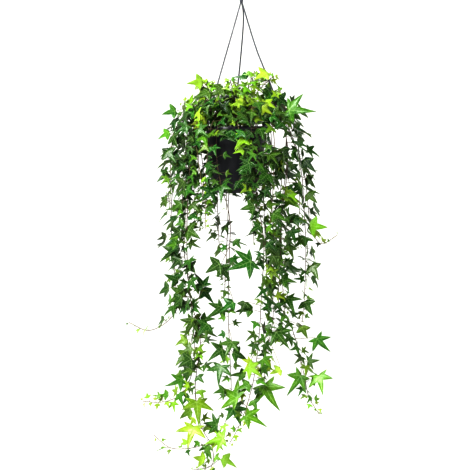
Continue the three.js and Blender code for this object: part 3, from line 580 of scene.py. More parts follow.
def make_pot():
    """One moulded shell: recessed foot, flared body and a down-turned band round the rim."""
    pot = settings("pot")
    rim, base, wall, foot = pot.rim_radius, pot.base_radius, pot.wall, -pot.height
    neck = rim - wall - pot.band_gap
    ring, recess, recess_depth = 0.005, 0.006, 0.0008
    body = [(base + out, foot + up) for out, up in BODY_FLARE]
    lip = [(rim - pot.lip * (1 - math.cos(turn)), -pot.band_height * (1 - math.sin(turn)))
           for turn in np.linspace(0, math.pi / 2, 9)]
    inside = [(radius - wall, height) for radius, height in reversed(body)]
    piece = turned("hanging_pot", pot.sides, [
        (base - recess, foot + recess_depth), (base - ring, foot), (base, foot), *body,
        (neck, -wall), (rim - wall, -wall), (rim - wall, -pot.band_height), *lip,
        (neck - wall, 0), *inside, (base - wall, foot + wall + FLOOR_RISE)])
    for degrees in (45, 135, 225, 315):
        turn = Matrix.Rotation(math.radians(degrees), 3, "Z")
        begin()
        bpy.ops.mesh.primitive_cylinder_add(
            vertices=24, radius=pot.drain_radius, depth=wall * 6,
            location=RIM_MIDDLE + turn @ Vector((pot.drain_ring, 0, foot)))
        cut(piece, bpy.context.object)
    apply_modifier(piece, "BEVEL", width=0.0005, segments=2, limit_method="ANGLE",
                   angle_limit=math.radians(40))
    smooth(piece)
    piece.data.materials.append(moulded_polypropylene("charcoal polypropylene", pot.colour))
    return piece


LEG_ENDS = [92, 212, 332]  # degrees round the pot where the legs are clipped on
LEG_BENDS = [  # the points that each leg bends through, in metres from the rim's middle
    [(0.019, 0.008, 0.262)],
    [],
    [(0.050, -0.014, 0.179), (0.075, -0.024, 0.116), (0.094, -0.032, 0.060),
     (0.088, -0.038, 0.026)],
]


def make_clip(width, rim_radius):
    """The clip at the foot of a leg: a bar outside the band that turns in under it and up."""
    thickness, gap, lip, wall = 0.0022, 0.0003, 0.006, 0.0016
    outside, head, under = rim_radius + gap, 0.012, -0.0123
    begin()
    bpy.ops.mesh.primitive_cube_add(
        size=1, scale=(thickness, width, thickness),
        location=(outside + thickness / 2, 0, under - thickness / 2))
    clip = bpy.context.object
    at_origin(clip)
    steps = [(lambda f: f.normal.z > 0.9, (0, 0, head - under)),
             (lambda f: f.normal.x < -0.9 and f.center.z < under, (-gap - wall - gap, 0, 0)),
             (lambda f: f.normal.x < -0.9 and f.center.z < under, (-wall, 0, 0)),
             (lambda f: f.normal.z > 0.9 and f.center.x < rim_radius - wall - gap, (0, 0, lip))]
    for belongs, move in steps:
        edit(clip, "FACE", "DESELECT")
        bpy.ops.object.mode_set(mode="OBJECT")
        for face in clip.data.polygons:
            face.select = belongs(face)
        bpy.ops.object.mode_set(mode="EDIT")
        bpy.ops.mesh.extrude_region_move(TRANSFORM_OT_translate={"value": move})
    close_up(clip)
    return clip


def make_hook(hanger, hub_top):
    """The hook's bar: an arc with a rounded end whose back swings down into the hub."""
    centre, count = np.array([0, 0, -0.012]), 40
    turns = np.radians(np.linspace(-35, 215, count))
    arc = centre + hanger.hook_radius * np.column_stack(
        [np.cos(turns), np.zeros(count), np.sin(turns)])
    neck = smooth_path([arc[-1], (-0.0035, 0, -0.0285), (0, 0, -0.0335), (0, 0, hub_top - 0.004)],
                       0.001)
    path = np.vstack([arc, neck[1:]])
    swell = np.minimum(1, 0.55 + np.arange(len(path)) * 0.2)
    return rod("hook", path, hanger.hook_rod * swell, 16)


def make_leg(hanger, rim_radius, start, degrees, bends):
    """A leg from the hub, through its bends, to the rim, and the clip at its foot."""
    to_rim = Matrix.Translation(RIM_MIDDLE)
    turn = Matrix.Rotation(math.radians(degrees), 4, "Z")
    beside_band = rim_radius + 0.0014
    foot = [to_rim @ turn @ Vector((beside_band, 0, height)) for height in (0.011, 0.004)]
    path = smooth_path([start, *[RIM_MIDDLE + Vector(bend) for bend in bends], *foot], 0.006)
    leg = rod("leg", path, np.full(len(path), hanger.rod_radius), 12)
    clip = make_clip(hanger.clip_width, rim_radius)
    clip.data.transform(to_rim @ turn)
    apply_modifier(clip, "BEVEL", width=0.0004, segments=2, limit_method="ANGLE")
    return leg, clip


def make_hanger():
    """Hook, hub, three thin legs and their clips, moulded in one."""
    hanger = settings("hanger")
    hub_top, hub_foot = -0.034, -0.050
    begin()
    bpy.ops.mesh.primitive_cone_add(vertices=24, radius1=hanger.hub_radius * 0.8,
                                    radius2=hanger.hub_radius, depth=hub_top - hub_foot,
                                    location=(0, 0, (hub_top + hub_foot) / 2))
    piece = bpy.context.object
    at_origin(piece)
    apply_modifier(piece, "BEVEL", width=0.0009, segments=3, limit_method="ANGLE")
    parts = [make_hook(hanger, hub_top)]
    for degrees, bends in zip(LEG_ENDS, LEG_BENDS):
        parts += make_leg(hanger, settings("pot").rim_radius, Vector((0, 0, hub_foot + 0.006)),
                          degrees, bends)
    for part in parts:
        cut(piece, part, "UNION")
    close_up(piece)
    smooth(piece, 40)
    piece.name = piece.data.name = "hanger_moulding"
    piece.data.materials.clear()
    piece.data.materials.append(
        moulded_polypropylene("grey polypropylene", hanger.colour, 0.3, 0.36))
    return piece


def soil_height(x, y):
    """Height of the soil over the rim's top, from the rim's middle, as the frame's soil has it."""
    soil = settings("soil")
    share = min(1, math.hypot(x, y) / settings("pot").rim_radius)
    x, y = x * 1000, y * 1000
    lumps = math.sin(x * 0.21 + 1.3) * math.cos(y * 0.19) + 0.6 * math.sin(x * 0.47 - y * 0.41)
    return -soil.below_rim + soil.mound * (1 - share * share) + 0.0011 * lumps


def make_soil():
    """Peat that fills the pot, with a crumbly mound on top."""
    soil, pot = settings("soil"), settings("pot")
    clearance, lumps_in_a_metre = 0.0005, 260
    wall, base, foot = pot.wall + clearance, pot.base_radius, -pot.height
    edge = pot.rim_radius - pot.wall - pot.band_gap - wall - clearance
    body = [(base + out - wall, foot + up) for out, up in BODY_FLARE]
    top = [(edge * share, -soil.below_rim) for share in np.linspace(1, 0.04, 20)]
    piece = turned("peat_filling", 72, [(base - wall, foot + wall + FLOOR_RISE), *body, *top])
    for vertex in piece.data.vertices:
        local = vertex.co - RIM_MIDDLE
        if abs(local.z + soil.below_rim) < 1e-5:
            rough = noise.fractal(local * lumps_in_a_metre, 0.8, 2.1, 4) * soil.crumb
            vertex.co.z = RIM_MIDDLE.z + soil_height(local.x, local.y) + rough
    smooth(piece, 50)
    piece.data.materials.append(moist_peat("moist peat", soil.colour))
    return piece


def scatter(name, pattern, count, sizes, seed):
    """Copies of the pattern strewn over the soil and bedded in it, each with its own mesh, size
    and turn."""
    draw = random.Random(seed)
    reach = 0.066
    strewn = []
    for _ in range(count):
        away = reach * math.sqrt(draw.random())
        turn = draw.uniform(0, math.tau)
        x, y = away * math.cos(turn), away * math.sin(turn)
        size = draw.uniform(*sizes)
        place = RIM_MIDDLE + Vector((x, y, soil_height(x, y) + size * 0.45))
        mesh = pattern.data.copy()
        mesh.transform(
            Matrix.Translation(place)
            @ Matrix.Rotation(draw.uniform(0, math.tau), 4, "Z")
            @ Matrix.Rotation(draw.uniform(0, math.pi), 4, "X")
            @ Matrix.Diagonal((size, size * 0.8, size * draw.uniform(0.55, 0.9), 1)))
        strewn.append(add_piece(name, mesh))
    bpy.data.objects.remove(pattern)
    return join(name, strewn)


def rough_ball(seed):
    begin()
    bpy.ops.mesh.primitive_ico_sphere_add(subdivisions=2, radius=1)
    ball = bpy.context.object
    edit(ball)
    bpy.ops.transform.vertex_random(offset=0.3, seed=seed)
    begin()
    return ball


# Reading the courses of the stems and the places of the leaves from the frame's solids


def corners_of(node):
    """The corners of a frame node and its triangles as numbers of those corners."""
    mesh = frame["nodes"][node].data
    places = np.array([v.co for v in mesh.vertices])
    corners, number = np.unique(np.round(places, 7), axis=0, return_inverse=True)
    number = number.ravel()
    triangles = [[number[i] for i in face.vertices] for face in mesh.polygons]
    return corners, [t for t in triangles if len(set(t)) == 3]


def groups_of(members, links):
    """Splits the members into groups that the links tie together."""
    group = {member: {member} for member in members}
    for link in links:
        tied = set().union(*(group[m] for m in link))
        for member in tied:
            group[member] = tied
    return list({id(g): sorted(g) for g in group.values()}.values())


def trace(node):
    """The middles of a stem's rings from root to tip, and the leaves on it."""
    corners, triangles = corners_of(node)
    apart = np.linalg.norm(corners[:, None] - corners[None], axis=2)
    far_side = {int(i): int(j) for i, j in
                np.argwhere(np.abs(apart - BLADE_THICKNESS) < SAME)}
    blade = set(far_side)
    leaf_groups = groups_of(blade, [t for t in triangles if blade.issuperset(t)])
    pairs = [(int(i), int(j)) for i, j in np.argwhere(np.abs(apart - STEM_SIDE) < SAME)
             if i not in blade and j not in blade]
    ring_groups = [g for g in groups_of({i for pair in pairs for i in pair}, pairs) if len(g) == 3]
    ring_of = {corner: n for n, group in enumerate(ring_groups) for corner in group}
    middles = [corners[group].mean(axis=0) for group in ring_groups]
    beside = {n: set() for n in range(len(middles))}
    leaf_of = {corner: n for n, group in enumerate(leaf_groups) for corner in group}
    root_of = {}
    for triangle in triangles:
        touched = {ring_of[i] for i in triangle if i in ring_of}
        for ring in touched:
            beside[ring] |= touched - {ring}
            root_of.update({leaf_of[i]: middles[ring] for i in triangle if i in leaf_of})
    ends = [n for n, others in beside.items() if len(others) == 1]
    if len(ends) != 2:
        raise RuntimeError(f"the stem of {node} has {len(ends)} ends")
    soil_middle = np.array(RIM_MIDDLE) - (0, 0, 0.02)

    def from_soil(ring):
        offset = middles[ring] - soil_middle
        return np.linalg.norm(offset[:2]) + abs(offset[2])

    order = [min(ends, key=from_soil)]
    while len(order) < len(middles):
        order.extend(beside[order[-1]] - set(order))
    leaves = [{**read_leaf(corners, group, far_side), "root": root_of[n]}
              for n, group in enumerate(leaf_groups)]
    return np.array([middles[n] for n in order]), leaves


def unit(vector):
    return vector / np.linalg.norm(vector)


def read_leaf(corners, group, far_side):
    """A leaf from the corners of its solid: its base, its length, the ways to its tip and up,
    its droop and its fold."""
    pairs = [(i, far_side[i]) for i in group if i < far_side[i]]
    middles = np.array([(corners[i] + corners[j]) / 2 for i, j in pairs])
    up = unit(corners[pairs[0][0]] - corners[pairs[0][1]])
    apart = np.linalg.norm(middles[:, None] - middles[None], axis=2) + np.eye(len(pairs))
    first, last = np.unravel_index(np.argmin(apart), apart.shape)
    end = (middles[first] + middles[last]) / 2
    tip = middles[np.argmax(np.linalg.norm(middles - end, axis=1))]
    lobes = 5 if len(group) == FIVE_LOBED_CORNERS else 3
    setback = BASE_SETBACK[lobes]
    reach = tip - end
    forward = unit(reach - reach.dot(up) * up)
    length = reach.dot(forward) / (1 + setback)
    across = np.cross(forward, up)
    offsets = middles - end
    aways = np.abs(offsets @ across) / length
    ahead = offsets @ forward / length - setback
    rises = offsets @ up / length
    shape = np.column_stack([aways, -(aways**2 + ahead**2), np.ones(len(aways))])
    fold, droop, lift = np.linalg.lstsq(shape, rises, rcond=None)[0]
    if fold < 0:
        up, fold, droop, lift = -up, -fold, -droop, -lift
    return {"base": end + (setback * forward + lift * up) * length, "forward": forward, "up": up,
            "length": length, "droop": droop, "fold": fold, "lobes": lobes}


# Leaves: two blades and a stalk modelled once, then copied and bent for every leaf


# Each lobe: its angle from the midrib, where its root's middle lies, and the places of its
# cross-sections along it with their width as a share of the root's. Each blade: the other
# corners round its middle, as angle and distance. Distances are shares of the length.
LOBES = {
    5: {"lobes": [(0, 0.35, [(0.50, 0.87), (0.66, 0.62), (0.82, 0.33), (1, 0)]),
                  (57, 0.32, [(0.44, 0.75), (0.59, 0.44), (0.73, 0)]),
                  (110, 0.22, [(0.34, 0.62), (0.46, 0)])],
        "notches": [(27, 0.31), (84, 0.28), (142, 0.12), (168, 0.05)]},
    3: {"lobes": [(0, 0.43, [(0.58, 0.84), (0.73, 0.58), (0.87, 0.30), (1, 0)]),
                  (66, 0.35, [(0.46, 0.75), (0.56, 0.43), (0.64, 0)])],
        "notches": [(29, 0.39), (118, 0.21), (166, 0.06)]},
}


def polar(angle, distance):
    """A place on the blade: right of the midrib, then towards the tip."""
    return Vector((math.sin(math.radians(angle)), math.cos(math.radians(angle)), 0)) * distance


def blade_pattern(lobe_count):
    """A flat blade one unit long: a fan round the petiole's end whose edges are drawn out into
    lobes, with a sunken midrib in each and the map for its veins."""
    shape = LOBES[lobe_count]
    lobes = [(angle * side, *rest) for angle, *rest in shape["lobes"]
             for side in ((1, -1) if angle else (1,))]
    ring = sorted([(angle * side, distance) for angle, distance in shape["notches"]
                   for side in (1, -1)] + [(angle, root) for angle, root, _ in lobes])
    begin()
    bpy.ops.mesh.primitive_circle_add(vertices=len(ring), radius=1, fill_type="TRIFAN")
    blade = bpy.context.object
    rim = sorted((v for v in blade.data.vertices if v.co.length > 0.5),
                 key=lambda v: -math.atan2(v.co.y, v.co.x))
    for vertex, (angle, distance) in zip(rim, ring):
        vertex.co = polar(angle, distance)
    for angle, root, sections in lobes:
        middle = polar(angle, root)
        order = ring.index((angle, root))
        corners = [polar(*ring[i]) for i in (order - 1, order, order + 1)]
        edit(blade, action="DESELECT")
        pick(blade, lambda co, own=corners: any((co - c).length < 1e-4 for c in own))
        bpy.ops.mesh.select_mode(type="EDGE")
        width = 1
        for place, next_width in sections:
            step = polar(angle, place) - middle
            middle = polar(angle, place)
            bpy.ops.mesh.extrude_edges_move(TRANSFORM_OT_translate={"value": step})
            share = max(next_width, 1e-5) / width
            bpy.ops.transform.resize(value=(share, share, 1), center_override=middle)
            width = next_width
        bpy.ops.mesh.remove_doubles(threshold=1e-3)
    begin()
    add_blade_map(blade, [angle for angle, *_ in lobes])
    edit(blade)
    bpy.ops.mesh.remove_doubles(threshold=1e-4)
    bpy.ops.mesh.normals_make_consistent(inside=False)
    begin()
    if blade.data.polygons[0].normal.z < 0:
        blade.data.flip_normals()
    return blade


def is_midrib(place, angles):
    return place.length < 1e-4 or any(
        (place - polar(angle, place.length)).length < 2e-3 for angle in angles)


def add_blade_map(blade, angles):
    """Maps the blade for its veins, across each lobe from its midrib and along from the
    petiole, and sinks the midribs."""
    mesh = blade.data
    midrib = [is_midrib(v.co, angles) for v in mesh.vertices]
    groove = 0.016  # as a share of the blade's length
    blade_map = the_map_of(mesh)
    for loop in mesh.loops:
        place = mesh.vertices[loop.vertex_index].co
        blade_map.data[loop.index].uv = (0 if midrib[loop.vertex_index] else 1, place.length)
    for vertex, is_sunk in zip(mesh.vertices, midrib):
        vertex.co.z -= groove if is_sunk else 0


def the_map_of(mesh):
    """The mesh's one map, called "blade" on leaves, stalks and stems, so that it outlives their
    joining."""
    found = mesh.uv_layers[0] if mesh.uv_layers else mesh.uv_layers.new()
    found.name = "blade"
    return found


class Pattern:
    """A blade or petiole that was modelled once, with its thin form for trying places."""

    def __init__(self, piece, thin=None):
        self.mesh = piece.data
        self.corners = places_in(piece.data)
        self.thin_corners, self.thin_faces = thin or (self.corners, faces_in(piece.data))
        bpy.data.objects.remove(piece)


def make_blade(lobe_count, materials):
    """A pattern for the blades: the flat one with its thickness, and its upper side and
    underside in their own materials."""
    blade = blade_pattern(lobe_count)
    thin = places_in(blade.data), faces_in(blade.data)
    apply_modifier(blade, "SOLIDIFY", thickness=0.012, offset=0, material_offset=1,
                   material_offset_rim=1)
    smooth(blade, 180)
    for material in materials:
        blade.data.materials.append(material)
    for face in blade.data.polygons:
        face.material_index = 0 if face.normal.z > 0.3 else 1
    return Pattern(blade, thin)


def make_petiole(material):
    """A straight stalk, one unit long and one in radius, in six steps that can be bent."""
    begin()
    bpy.ops.mesh.primitive_cylinder_add(vertices=5, radius=1, depth=1, location=(0, 0, 0.5))
    stalk = bpy.context.object
    at_origin(stalk)
    edit(stalk, "EDGE", "DESELECT")
    bpy.ops.object.mode_set(mode="OBJECT")
    for side in stalk.data.edges:
        ends = [stalk.data.vertices[i].co.z for i in side.vertices]
        side.select = abs(ends[0] - ends[1]) > 0.5
    bpy.ops.object.mode_set(mode="EDIT")
    bpy.ops.mesh.subdivide(number_cuts=5)
    begin()
    smooth(stalk, 60)
    the_map_of(stalk.data)
    stalk.data.materials.append(material)
    return Pattern(stalk)


def placed_blade(leaf, flat):
    """The corners of a flat pattern, folded, bent and put where this leaf is."""
    x, y, z = flat.T
    turn = np.arctan2(x, y)
    out = x * x + y * y
    crease = 0.04  # radius of the fold along the midrib, as a share of the length
    lifted = leaf["fold"] * (np.sqrt(x * x + crease**2) - crease) - leaf["droop"] * out
    rippled = leaf["ripple"] * out * np.sin(4 * turn + leaf["phase"])
    x = x * leaf["width"] + leaf["sway"] * y * np.abs(y)
    across, forward, up = np.cross(leaf["forward"], leaf["up"]), leaf["forward"], leaf["up"]
    return leaf["base"] + leaf["length"] * (
        np.outer(x, across) + np.outer(y, forward) + np.outer(z + lifted + rippled, up))


def placed_petiole(leaf, straight):
    """The corners of the straight stalk, bent from the stem to the blade's base, which it meets
    from behind and just below."""
    start, end = leaf["root"], leaf["base"]
    span = np.linalg.norm(end - start)
    lift = min(0.3 * span, 0.006)
    inner = start + (end - start) * 0.35 + leaf["up"] * span * 0.05
    outer = end - leaf["forward"] * lift - leaf["up"] * lift * 0.2
    t = straight[:, 2:3]
    course = ((1 - t)**3 * start + 3 * t * (1 - t)**2 * inner + 3 * t**2 * (1 - t) * outer
              + t**3 * end)
    way = (3 * (1 - t)**2 * (inner - start) + 6 * t * (1 - t) * (outer - inner)
           + 3 * t**2 * (end - outer))
    side = np.cross(way, leaf["up"] + 0.01)
    side /= np.linalg.norm(side, axis=1, keepdims=True)
    above = np.cross(side, way)
    above /= np.linalg.norm(above, axis=1, keepdims=True)
    thick = settings("ivy").petiole_radius * min(1.1, 0.55 + leaf["length"] / 0.09)
    radius = thick * (1.25 - 0.45 * t)
    return course + radius * (straight[:, :1] * side + straight[:, 1:2] * above)


def copy_of(pattern, corners, youth, tone):
    """A copy of a pattern with its own mesh, corners and colour."""
    mesh = pattern.mesh.copy()
    mesh.vertices.foreach_set("co", corners.ravel())
    mark(mesh, "youth", np.full(len(corners), youth))
    mark(mesh, "tone", np.full(len(corners), tone))
    return add_piece("leaf", mesh)


def mark(mesh, name, values):
    """Gives the corners of a mesh values from 0 to 1 for its materials to read."""
    attribute = mesh.attributes.new(name, "FLOAT", "POINT")
    attribute.data.foreach_set("value", np.clip(values, 0, 1).astype(np.float32))


class Crowd:
    """All that stands in the way of one more leaf."""

    def __init__(self):
        self.lows, self.highs, self.trees = [], [], []

    def add(self, corners, faces):
        self.lows.append(corners.min(axis=0))
        self.highs.append(corners.max(axis=0))
        self.trees.append(BVHTree.FromPolygons(corners.tolist(), faces))
        return len(self.trees) - 1

    def is_clear(self, corners, faces, but=None):
        low, high = corners.min(axis=0), corners.max(axis=0)
        near = (np.array(self.lows) < high).all(axis=1) & (low < np.array(self.highs)).all(axis=1)
        others = [self.trees[i] for i in np.flatnonzero(near) if i != but]
        if not others:
            return True
        tree = BVHTree.FromPolygons(corners.tolist(), faces)
        return not any(tree.overlap(other) for other in others)


# Lengths of leaves in metres
FIVE_LOBED_FROM = 0.02
LARGE_LEAF = 0.032


class LeafyStem:
    """One stem of the plant: its course, its leaves and its own chance draws."""

    def __init__(self, node):
        self.node = node
        self.draw = random.Random(node)
        rings, self.leaves = trace(node)
        self.path = smooth_path(rings, 0.007)
        steps = np.linalg.norm(np.diff(self.path, axis=0), axis=1)
        self.places = np.concatenate([[0], np.cumsum(steps)])
        self.length = self.places[-1]
        self.is_shoot = node.startswith("shoot_")
        self.is_sparse = node.endswith("_flick")
        for leaf in self.leaves:
            self.give_character(leaf, 0.8)

    def at(self, place):
        return np.array([np.interp(place, self.places, self.path[:, i]) for i in range(3)])

    def give_character(self, leaf, freedom):
        """What makes each leaf differ from its neighbours. A tone of 0.5 leaves its green as it
        is, and less turns it yellow."""
        def spread(size):
            return self.draw.uniform(-size, size) * freedom

        leaf.update(width=1 + spread(0.16), sway=spread(0.2), ripple=spread(0.12),
                    phase=self.draw.uniform(0, math.tau), youth=self.youth_of(leaf))
        leaf["tone"] = 0.492 + self.draw.uniform(-0.034, 0.03) - 0.025 * leaf["youth"]

    def youth_of(self, leaf):
        """How young a leaf is, from old 0 to new 1: young at the places of new growth, near the
        tip of its stem, low on the plant and high in the crown, and old where it is large."""
        middle = leaf["base"] + leaf["forward"] * leaf["length"] / 2 - np.array(RIM_MIDDLE)
        luck = self.draw.gauss(0, 1)
        if any(math.hypot(middle[0] - x, middle[2] - z) < near for x, z, near in NEW_GROWTH):
            return 0.92 - 5 * leaf["length"] + 0.07 * luck
        place = self.places[np.argmin(np.linalg.norm(self.path - leaf["root"], axis=1))]
        near_tip = math.exp((place - self.length) / 0.07)
        low_down = min(1, max(0, -middle[2] - 0.30) / 0.45)
        high_up = max(0, middle[2]) / 0.1
        if leaf["length"] > LARGE_LEAF:
            return 0.19 + 0.12 * near_tip + 0.24 * low_down + 0.08 * luck
        return 0.24 + 0.34 * near_tip + 0.24 * low_down + 0.15 * high_up + 0.15 * luck

    def is_before_pot(self, place):
        x, y, z = self.at(place) - RIM_MIDDLE
        return abs(x) < 0.06 and y < BEFORE_POT and -settings("pot").height < z < 0

    def new_leaf(self, place, side, length):
        """A small leaf that grows from the stem at a place along it, to one side."""
        draw = self.draw
        root = self.at(place)
        along = unit(self.at(min(place + 0.004, self.length)) - self.at(place - 0.004))
        out = root - np.array(RIM_MIDDLE)
        out = unit(np.array([out[0], out[1], 0]))

        def any_way():
            return np.array([draw.uniform(-1, 1) for _ in range(3)])

        # It faces out from the plant, to the front and up, hangs aside and points down.
        light = unit(out * 0.6 + np.array([0, -0.45, 0.6]) + any_way() * 0.55)
        aside = unit(np.cross(along, light)) * side
        reach = unit(aside * 0.8 + light * 0.6 + along * 0.3 + any_way() * 0.4)
        forward = aside * 0.35 + np.array([0, 0, -0.5]) + reach * 0.6 + any_way() * 0.45
        forward = unit(forward - forward.dot(light) * light)
        petiole = length * draw.uniform(0.28, 0.6) + 0.003
        petiole *= 1.8 if self.is_before_pot(place) else 1  # reaching past the others to the light
        leaf = {"root": root, "base": root + reach * petiole, "forward": forward, "up": light,
                "length": length, "droop": draw.uniform(0.05, 0.3),
                "fold": draw.uniform(0.08, 0.4),
                "lobes": 5 if length > FIVE_LOBED_FROM and draw.random() < 0.55 else 3}
        self.give_character(leaf, 1)
        return leaf

    def rod_radii(self):
        ivy = settings("ivy")
        share = (self.places / self.length) ** 0.8
        return ivy.stem_radius + (ivy.tip_radius - ivy.stem_radius) * share

    def spare_places(self):
        """Places for small leaves along the stem, each with its side and the leaf's length."""
        gap = settings("ivy").spare_gap
        gap *= 2 if self.is_sparse else 0.55 if self.is_shoot else 1
        end = self.length - 0.001
        place = 0.034  # the stem is bare up to here
        side = self.draw.choice((1, -1))
        while place < end:
            to_tip = self.length - place
            crowding = 0.33 if self.is_before_pot(place) else 0.55 if to_tip < 0.05 else 1
            length = 0.008 + 0.021 * min(1, to_tip / (0.06 if self.is_shoot else 0.13))
            length *= 0.7 if self.is_sparse else 1.2 if self.is_shoot else 1
            yield place, side, length * self.draw.uniform(0.65, 1.35)
            side = -side
            place += gap * self.draw.uniform(0.7, 1.3) * crowding
        yield end, side, 0.007


def is_wanted(leaf, lot):
    """Whether a leaf with this lot, from 0 to 1, may hang where it does, by the OPEN places."""
    for share in (0, 0.5, 0.9):
        x, y, z = leaf["base"] + leaf["forward"] * leaf["length"] * share - RIM_MIDDLE
        if any(left < x < right and low < z < high and y < depth and lot > kept
               for (left, right), (low, high), depth, kept in OPEN):
            return False
    return True


def grow(nodes):
    """Dresses the leafy nodes: each gets its stem and leaves as one piece in its place."""
    ivy = settings("ivy")
    bark = ivy_bark("ivy bark", ivy)
    sides = (ivy_upper_side("ivy leaf upper side", ivy), ivy_underside("ivy leaf underside", ivy))
    blades = {lobes: make_blade(lobes, sides) for lobes in LOBES}
    stalk = make_petiole(bark)
    stems = [LeafyStem(node) for node in nodes]
    rods = [rod(stem.node + "_stem", stem.path, stem.rod_radii(), 6) for stem in stems]
    crowd = Crowd()
    for piece in (frame["nodes"]["pot"], frame["nodes"]["hanger"]):
        crowd.add(places_in(piece.data), faces_in(piece.data))
    rod_numbers = [crowd.add(places_in(piece.data), faces_in(piece.data)) for piece in rods]
    for leaf in [leaf for stem in stems for leaf in stem.leaves]:
        blade = blades[leaf["lobes"]]
        crowd.add(placed_blade(leaf, blade.thin_corners), blade.thin_faces)
        crowd.add(placed_petiole(leaf, stalk.corners), stalk.thin_faces)
    for stem, own_rod in zip(stems, rod_numbers):
        for where in stem.spare_places():
            add_small_leaf(stem, where, crowd, own_rod, blades, stalk)
    for stem, piece in zip(stems, rods):
        dress(stem, piece, blades, stalk, bark)


def add_small_leaf(stem, where, crowd, own_rod, blades, stalk):
    """Tries a few ways to stand a small leaf clear of all the rest, each a little smaller."""
    place, side, length = where
    lot = stem.draw.random()
    for attempt in range(settings("ivy").tries):
        leaf = stem.new_leaf(place, side, length * (1 - 0.025 * attempt))
        pattern = blades[leaf["lobes"]]
        blade = placed_blade(leaf, pattern.thin_corners)
        petiole = placed_petiole(leaf, stalk.corners)
        if (is_wanted(leaf, lot) and crowd.is_clear(blade, pattern.thin_faces)
                and crowd.is_clear(petiole, stalk.thin_faces, own_rod)):
            crowd.add(blade, pattern.thin_faces)
            crowd.add(petiole, stalk.thin_faces)
            stem.leaves.append(leaf)
            return


def dress(stem, piece, blades, stalk, bark):
    """Joins a stem's rod with its leaves and puts them in the place of its frame node."""
    mark(piece.data, "youth", rod_youth(stem, places_in(piece.data)))
    the_map_of(piece.data)
    piece.data.materials.clear()
    piece.data.materials.append(bark)
    smooth(piece, 60)
    parts = [piece]
    for leaf in stem.leaves:
        pattern = blades[leaf["lobes"]]
        parts.append(copy_of(pattern, placed_blade(leaf, pattern.corners), leaf["youth"],
                             leaf["tone"]))
        parts.append(copy_of(stalk, placed_petiole(leaf, stalk.corners),
                             0.3 + 0.5 * leaf["youth"], leaf["tone"]))
    show(join("leafy_" + stem.node, parts), stem.node)


def rod_youth(stem, corners):
    """A stem's skin turns from bark to green over its last 12 cm or so."""
    nearest = [stem.places[np.argmin(np.linalg.norm(stem.path - c, axis=1))] for c in corners]
    return 1.1 * np.exp(-(stem.length - np.array(nearest)) / 0.12)


# Stage


def make_room(stage):
    """A round white studio whose floor curves up into its wall."""
    begin()
    bpy.ops.mesh.primitive_circle_add(vertices=96, radius=stage.room, fill_type="NGON",
                                      location=(0, 0, CAD_BOX[0].z - stage.floor_drop))
    room = bpy.context.object
    at_origin(room)
    edit(room)
    bpy.ops.mesh.extrude_edges_move(TRANSFORM_OT_translate={"value": (0, 0, stage.wall)})
    begin()
    apply_modifier(room, "BEVEL", width=stage.sweep, segments=24, limit_method="ANGLE")
    smooth(room, 60)
    room.name = room.data.name = "studio_room"
    room.data.materials.append(painted_white("matt white paint", stage.white))
    room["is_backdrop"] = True


def add_lamps(stage, middle):
    """Soft light: key, fill and top light from behind, then a ring of lamps that face the wall,
    brighter behind the plant. Each has its place and what it points at, in metres from the
    plant's middle, its width and its share of the key light's power."""
    lamps = [((-2.2, -2.6, 2.4), (0, 0, 0), 1.8, 1.16), ((2.6, -2.2, 0.8), (0, 0, 0), 2.0, 0.22),
             ((0.3, 2.0, 2.2), (0, 0, 0), 1.6, 0.2)]
    for number in range(8):
        turn = math.radians(22.5 + 45 * number)
        out = Vector((math.cos(turn), math.sin(turn), 0))
        lamps.append((out * 5.5 + Vector((0, 0, 3.6)), out * stage.room, 2.5,
                      0.99 if out.y > 0 else 0.48))
    for place, target, size, share in lamps:
        begin()
        bpy.ops.object.light_add(type="AREA", location=middle + Vector(place))
        lamp = bpy.context.object
        lamp.data.shape = "DISK"
        lamp.data.size = size
        lamp.data.energy = stage.light * share
        lamp.rotation_euler = (Vector(target) - Vector(place)).to_track_quat("-Z", "Y").to_euler()


def make_stage():
    """The studio, its light, the camera at the rim's height and the look of the picture."""
    stage = settings("stage")
    make_room(stage)
    world = bpy.data.worlds.new("white studio")
    world.use_nodes = True
    air = world.node_tree.nodes["Background"].inputs
    air["Color"].default_value = (1, 1, 1, 1)
    air["Strength"].default_value = stage.air
    bpy.context.scene.world = world
    add_lamps(stage, Vector((RIM_MIDDLE.x, 0, -0.6)))

    begin()
    eye = Vector((-0.015, -stage.distance, RIM_MIDDLE.z))
    aim = Vector((-0.015, 0, -0.597))
    bpy.ops.object.camera_add(location=eye)
    camera = bpy.context.object
    camera.rotation_euler = (aim - eye).to_track_quat("-Z", "Y").to_euler()
    camera.data.lens = camera.data.sensor_width * (aim - eye).length / stage.view_height
    camera.data.clip_end = 100
    bpy.context.scene.camera = camera
    view = bpy.context.scene.view_settings
    view.view_transform = "Standard"
    view.look = "None"
    view.gamma = 0.66
    view.exposure = 0.72


# The add-on


def show(piece, node):
    """The finished piece stands for a node of the frame, which it hides, and hangs from the root
    body.
    """
    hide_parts(node)
    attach(piece, "root")


class HANGINGIVY_OT_pot(bpy.types.Operator):
    """Make the moulded pot with its band and drain holes"""
    bl_idname = "hanging_ivy.pot"
    bl_label = "Pot"

    def execute(self, context):
        show(make_pot(), "pot")
        return {"FINISHED"}


class HANGINGIVY_OT_hanger(bpy.types.Operator):
    """Make the hanger: hook, hub, legs and clips"""
    bl_idname = "hanging_ivy.hanger"
    bl_label = "Hanger"

    def execute(self, context):
        show(make_hanger(), "hanger")
        return {"FINISHED"}


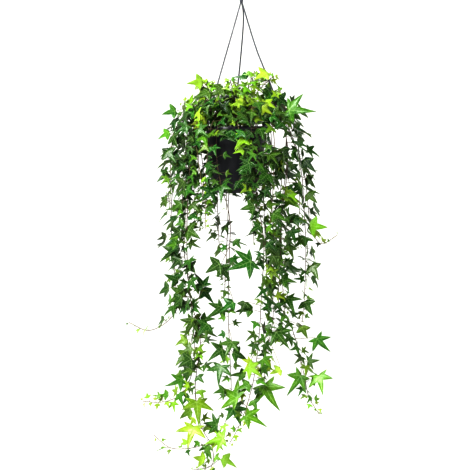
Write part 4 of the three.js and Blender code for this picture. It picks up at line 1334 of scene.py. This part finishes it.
class HANGINGIVY_OT_soil(bpy.types.Operator):
    """Fill the pot with peat, loose crumbs and grains of perlite"""
    bl_idname = "hanging_ivy.soil"
    bl_label = "Soil"

    def execute(self, context):
        soil = settings("soil")
        filling = make_soil()
        show(filling, "soil")
        crumbs = scatter("peat_crumbs", rough_ball(3), soil.crumbs, (0.0009, 0.0023), 11)
        crumbs.data.materials.append(filling.data.materials[0])
        grains = scatter("perlite_grains", rough_ball(5), soil.grains, (0.0008, 0.0019), 12)
        grains.data.materials.append(expanded_perlite("perlite"))
        for loose in (crumbs, grains):
            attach(loose, "root")
        return {"FINISHED"}


class HANGINGIVY_OT_ivy(bpy.types.Operator):
    """Grow the leafy vines and shoots along the frame's stems"""
    bl_idname = "hanging_ivy.ivy"
    bl_label = "Ivy"

    def execute(self, context):
        grow(LEAFY_NODES)
        return {"FINISHED"}


class HANGINGIVY_OT_stage(bpy.types.Operator):
    """Set up the white floor and backdrop, the lights and the camera"""
    bl_idname = "hanging_ivy.stage"
    bl_label = "Stage"

    def execute(self, context):
        make_stage()
        return {"FINISHED"}


OPERATORS = [HANGINGIVY_OT_stage, HANGINGIVY_OT_pot, HANGINGIVY_OT_hanger, HANGINGIVY_OT_soil,
             HANGINGIVY_OT_ivy]


class HANGINGIVY_PT_panel(bpy.types.Panel):
    """Lists the pieces with their sizes and colours"""
    bl_idname = "HANGINGIVY_PT_panel"
    bl_label = "Hanging Ivy"
    bl_space_type = "VIEW_3D"
    bl_region_type = "UI"
    bl_category = "Ivy"

    def draw(self, context):
        for operator in OPERATORS:
            box = self.layout.box()
            box.operator(operator.bl_idname)
            group = operator.bl_idname.split(".")[1]
            for name in GROUPS[group].__annotations__:
                box.prop(settings(group), name)


CLASSES = [*GROUPS.values(), HangingIvySettings, *OPERATORS, HANGINGIVY_PT_panel]


def register():
    for part in CLASSES:
        bpy.utils.register_class(part)
    bpy.types.Scene.hanging_ivy = PointerProperty(type=HangingIvySettings)


def unregister():
    del bpy.types.Scene.hanging_ivy
    for part in reversed(CLASSES):
        bpy.utils.unregister_class(part)


def main():
    register()
    for piece in list(bpy.context.scene.objects):
        if piece.name in ("Cube", "Light", "Camera"):
            bpy.data.objects.remove(piece)
    for operator in OPERATORS:
        getattr(bpy.ops.hanging_ivy, operator.bl_idname.split(".")[1])()
    boxes = {"cad": CAD_BOX, "visual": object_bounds()}
    {name: [list(low), list(high)] for name, (low, high) in boxes.items()}


if __name__ == "__main__":
    main()
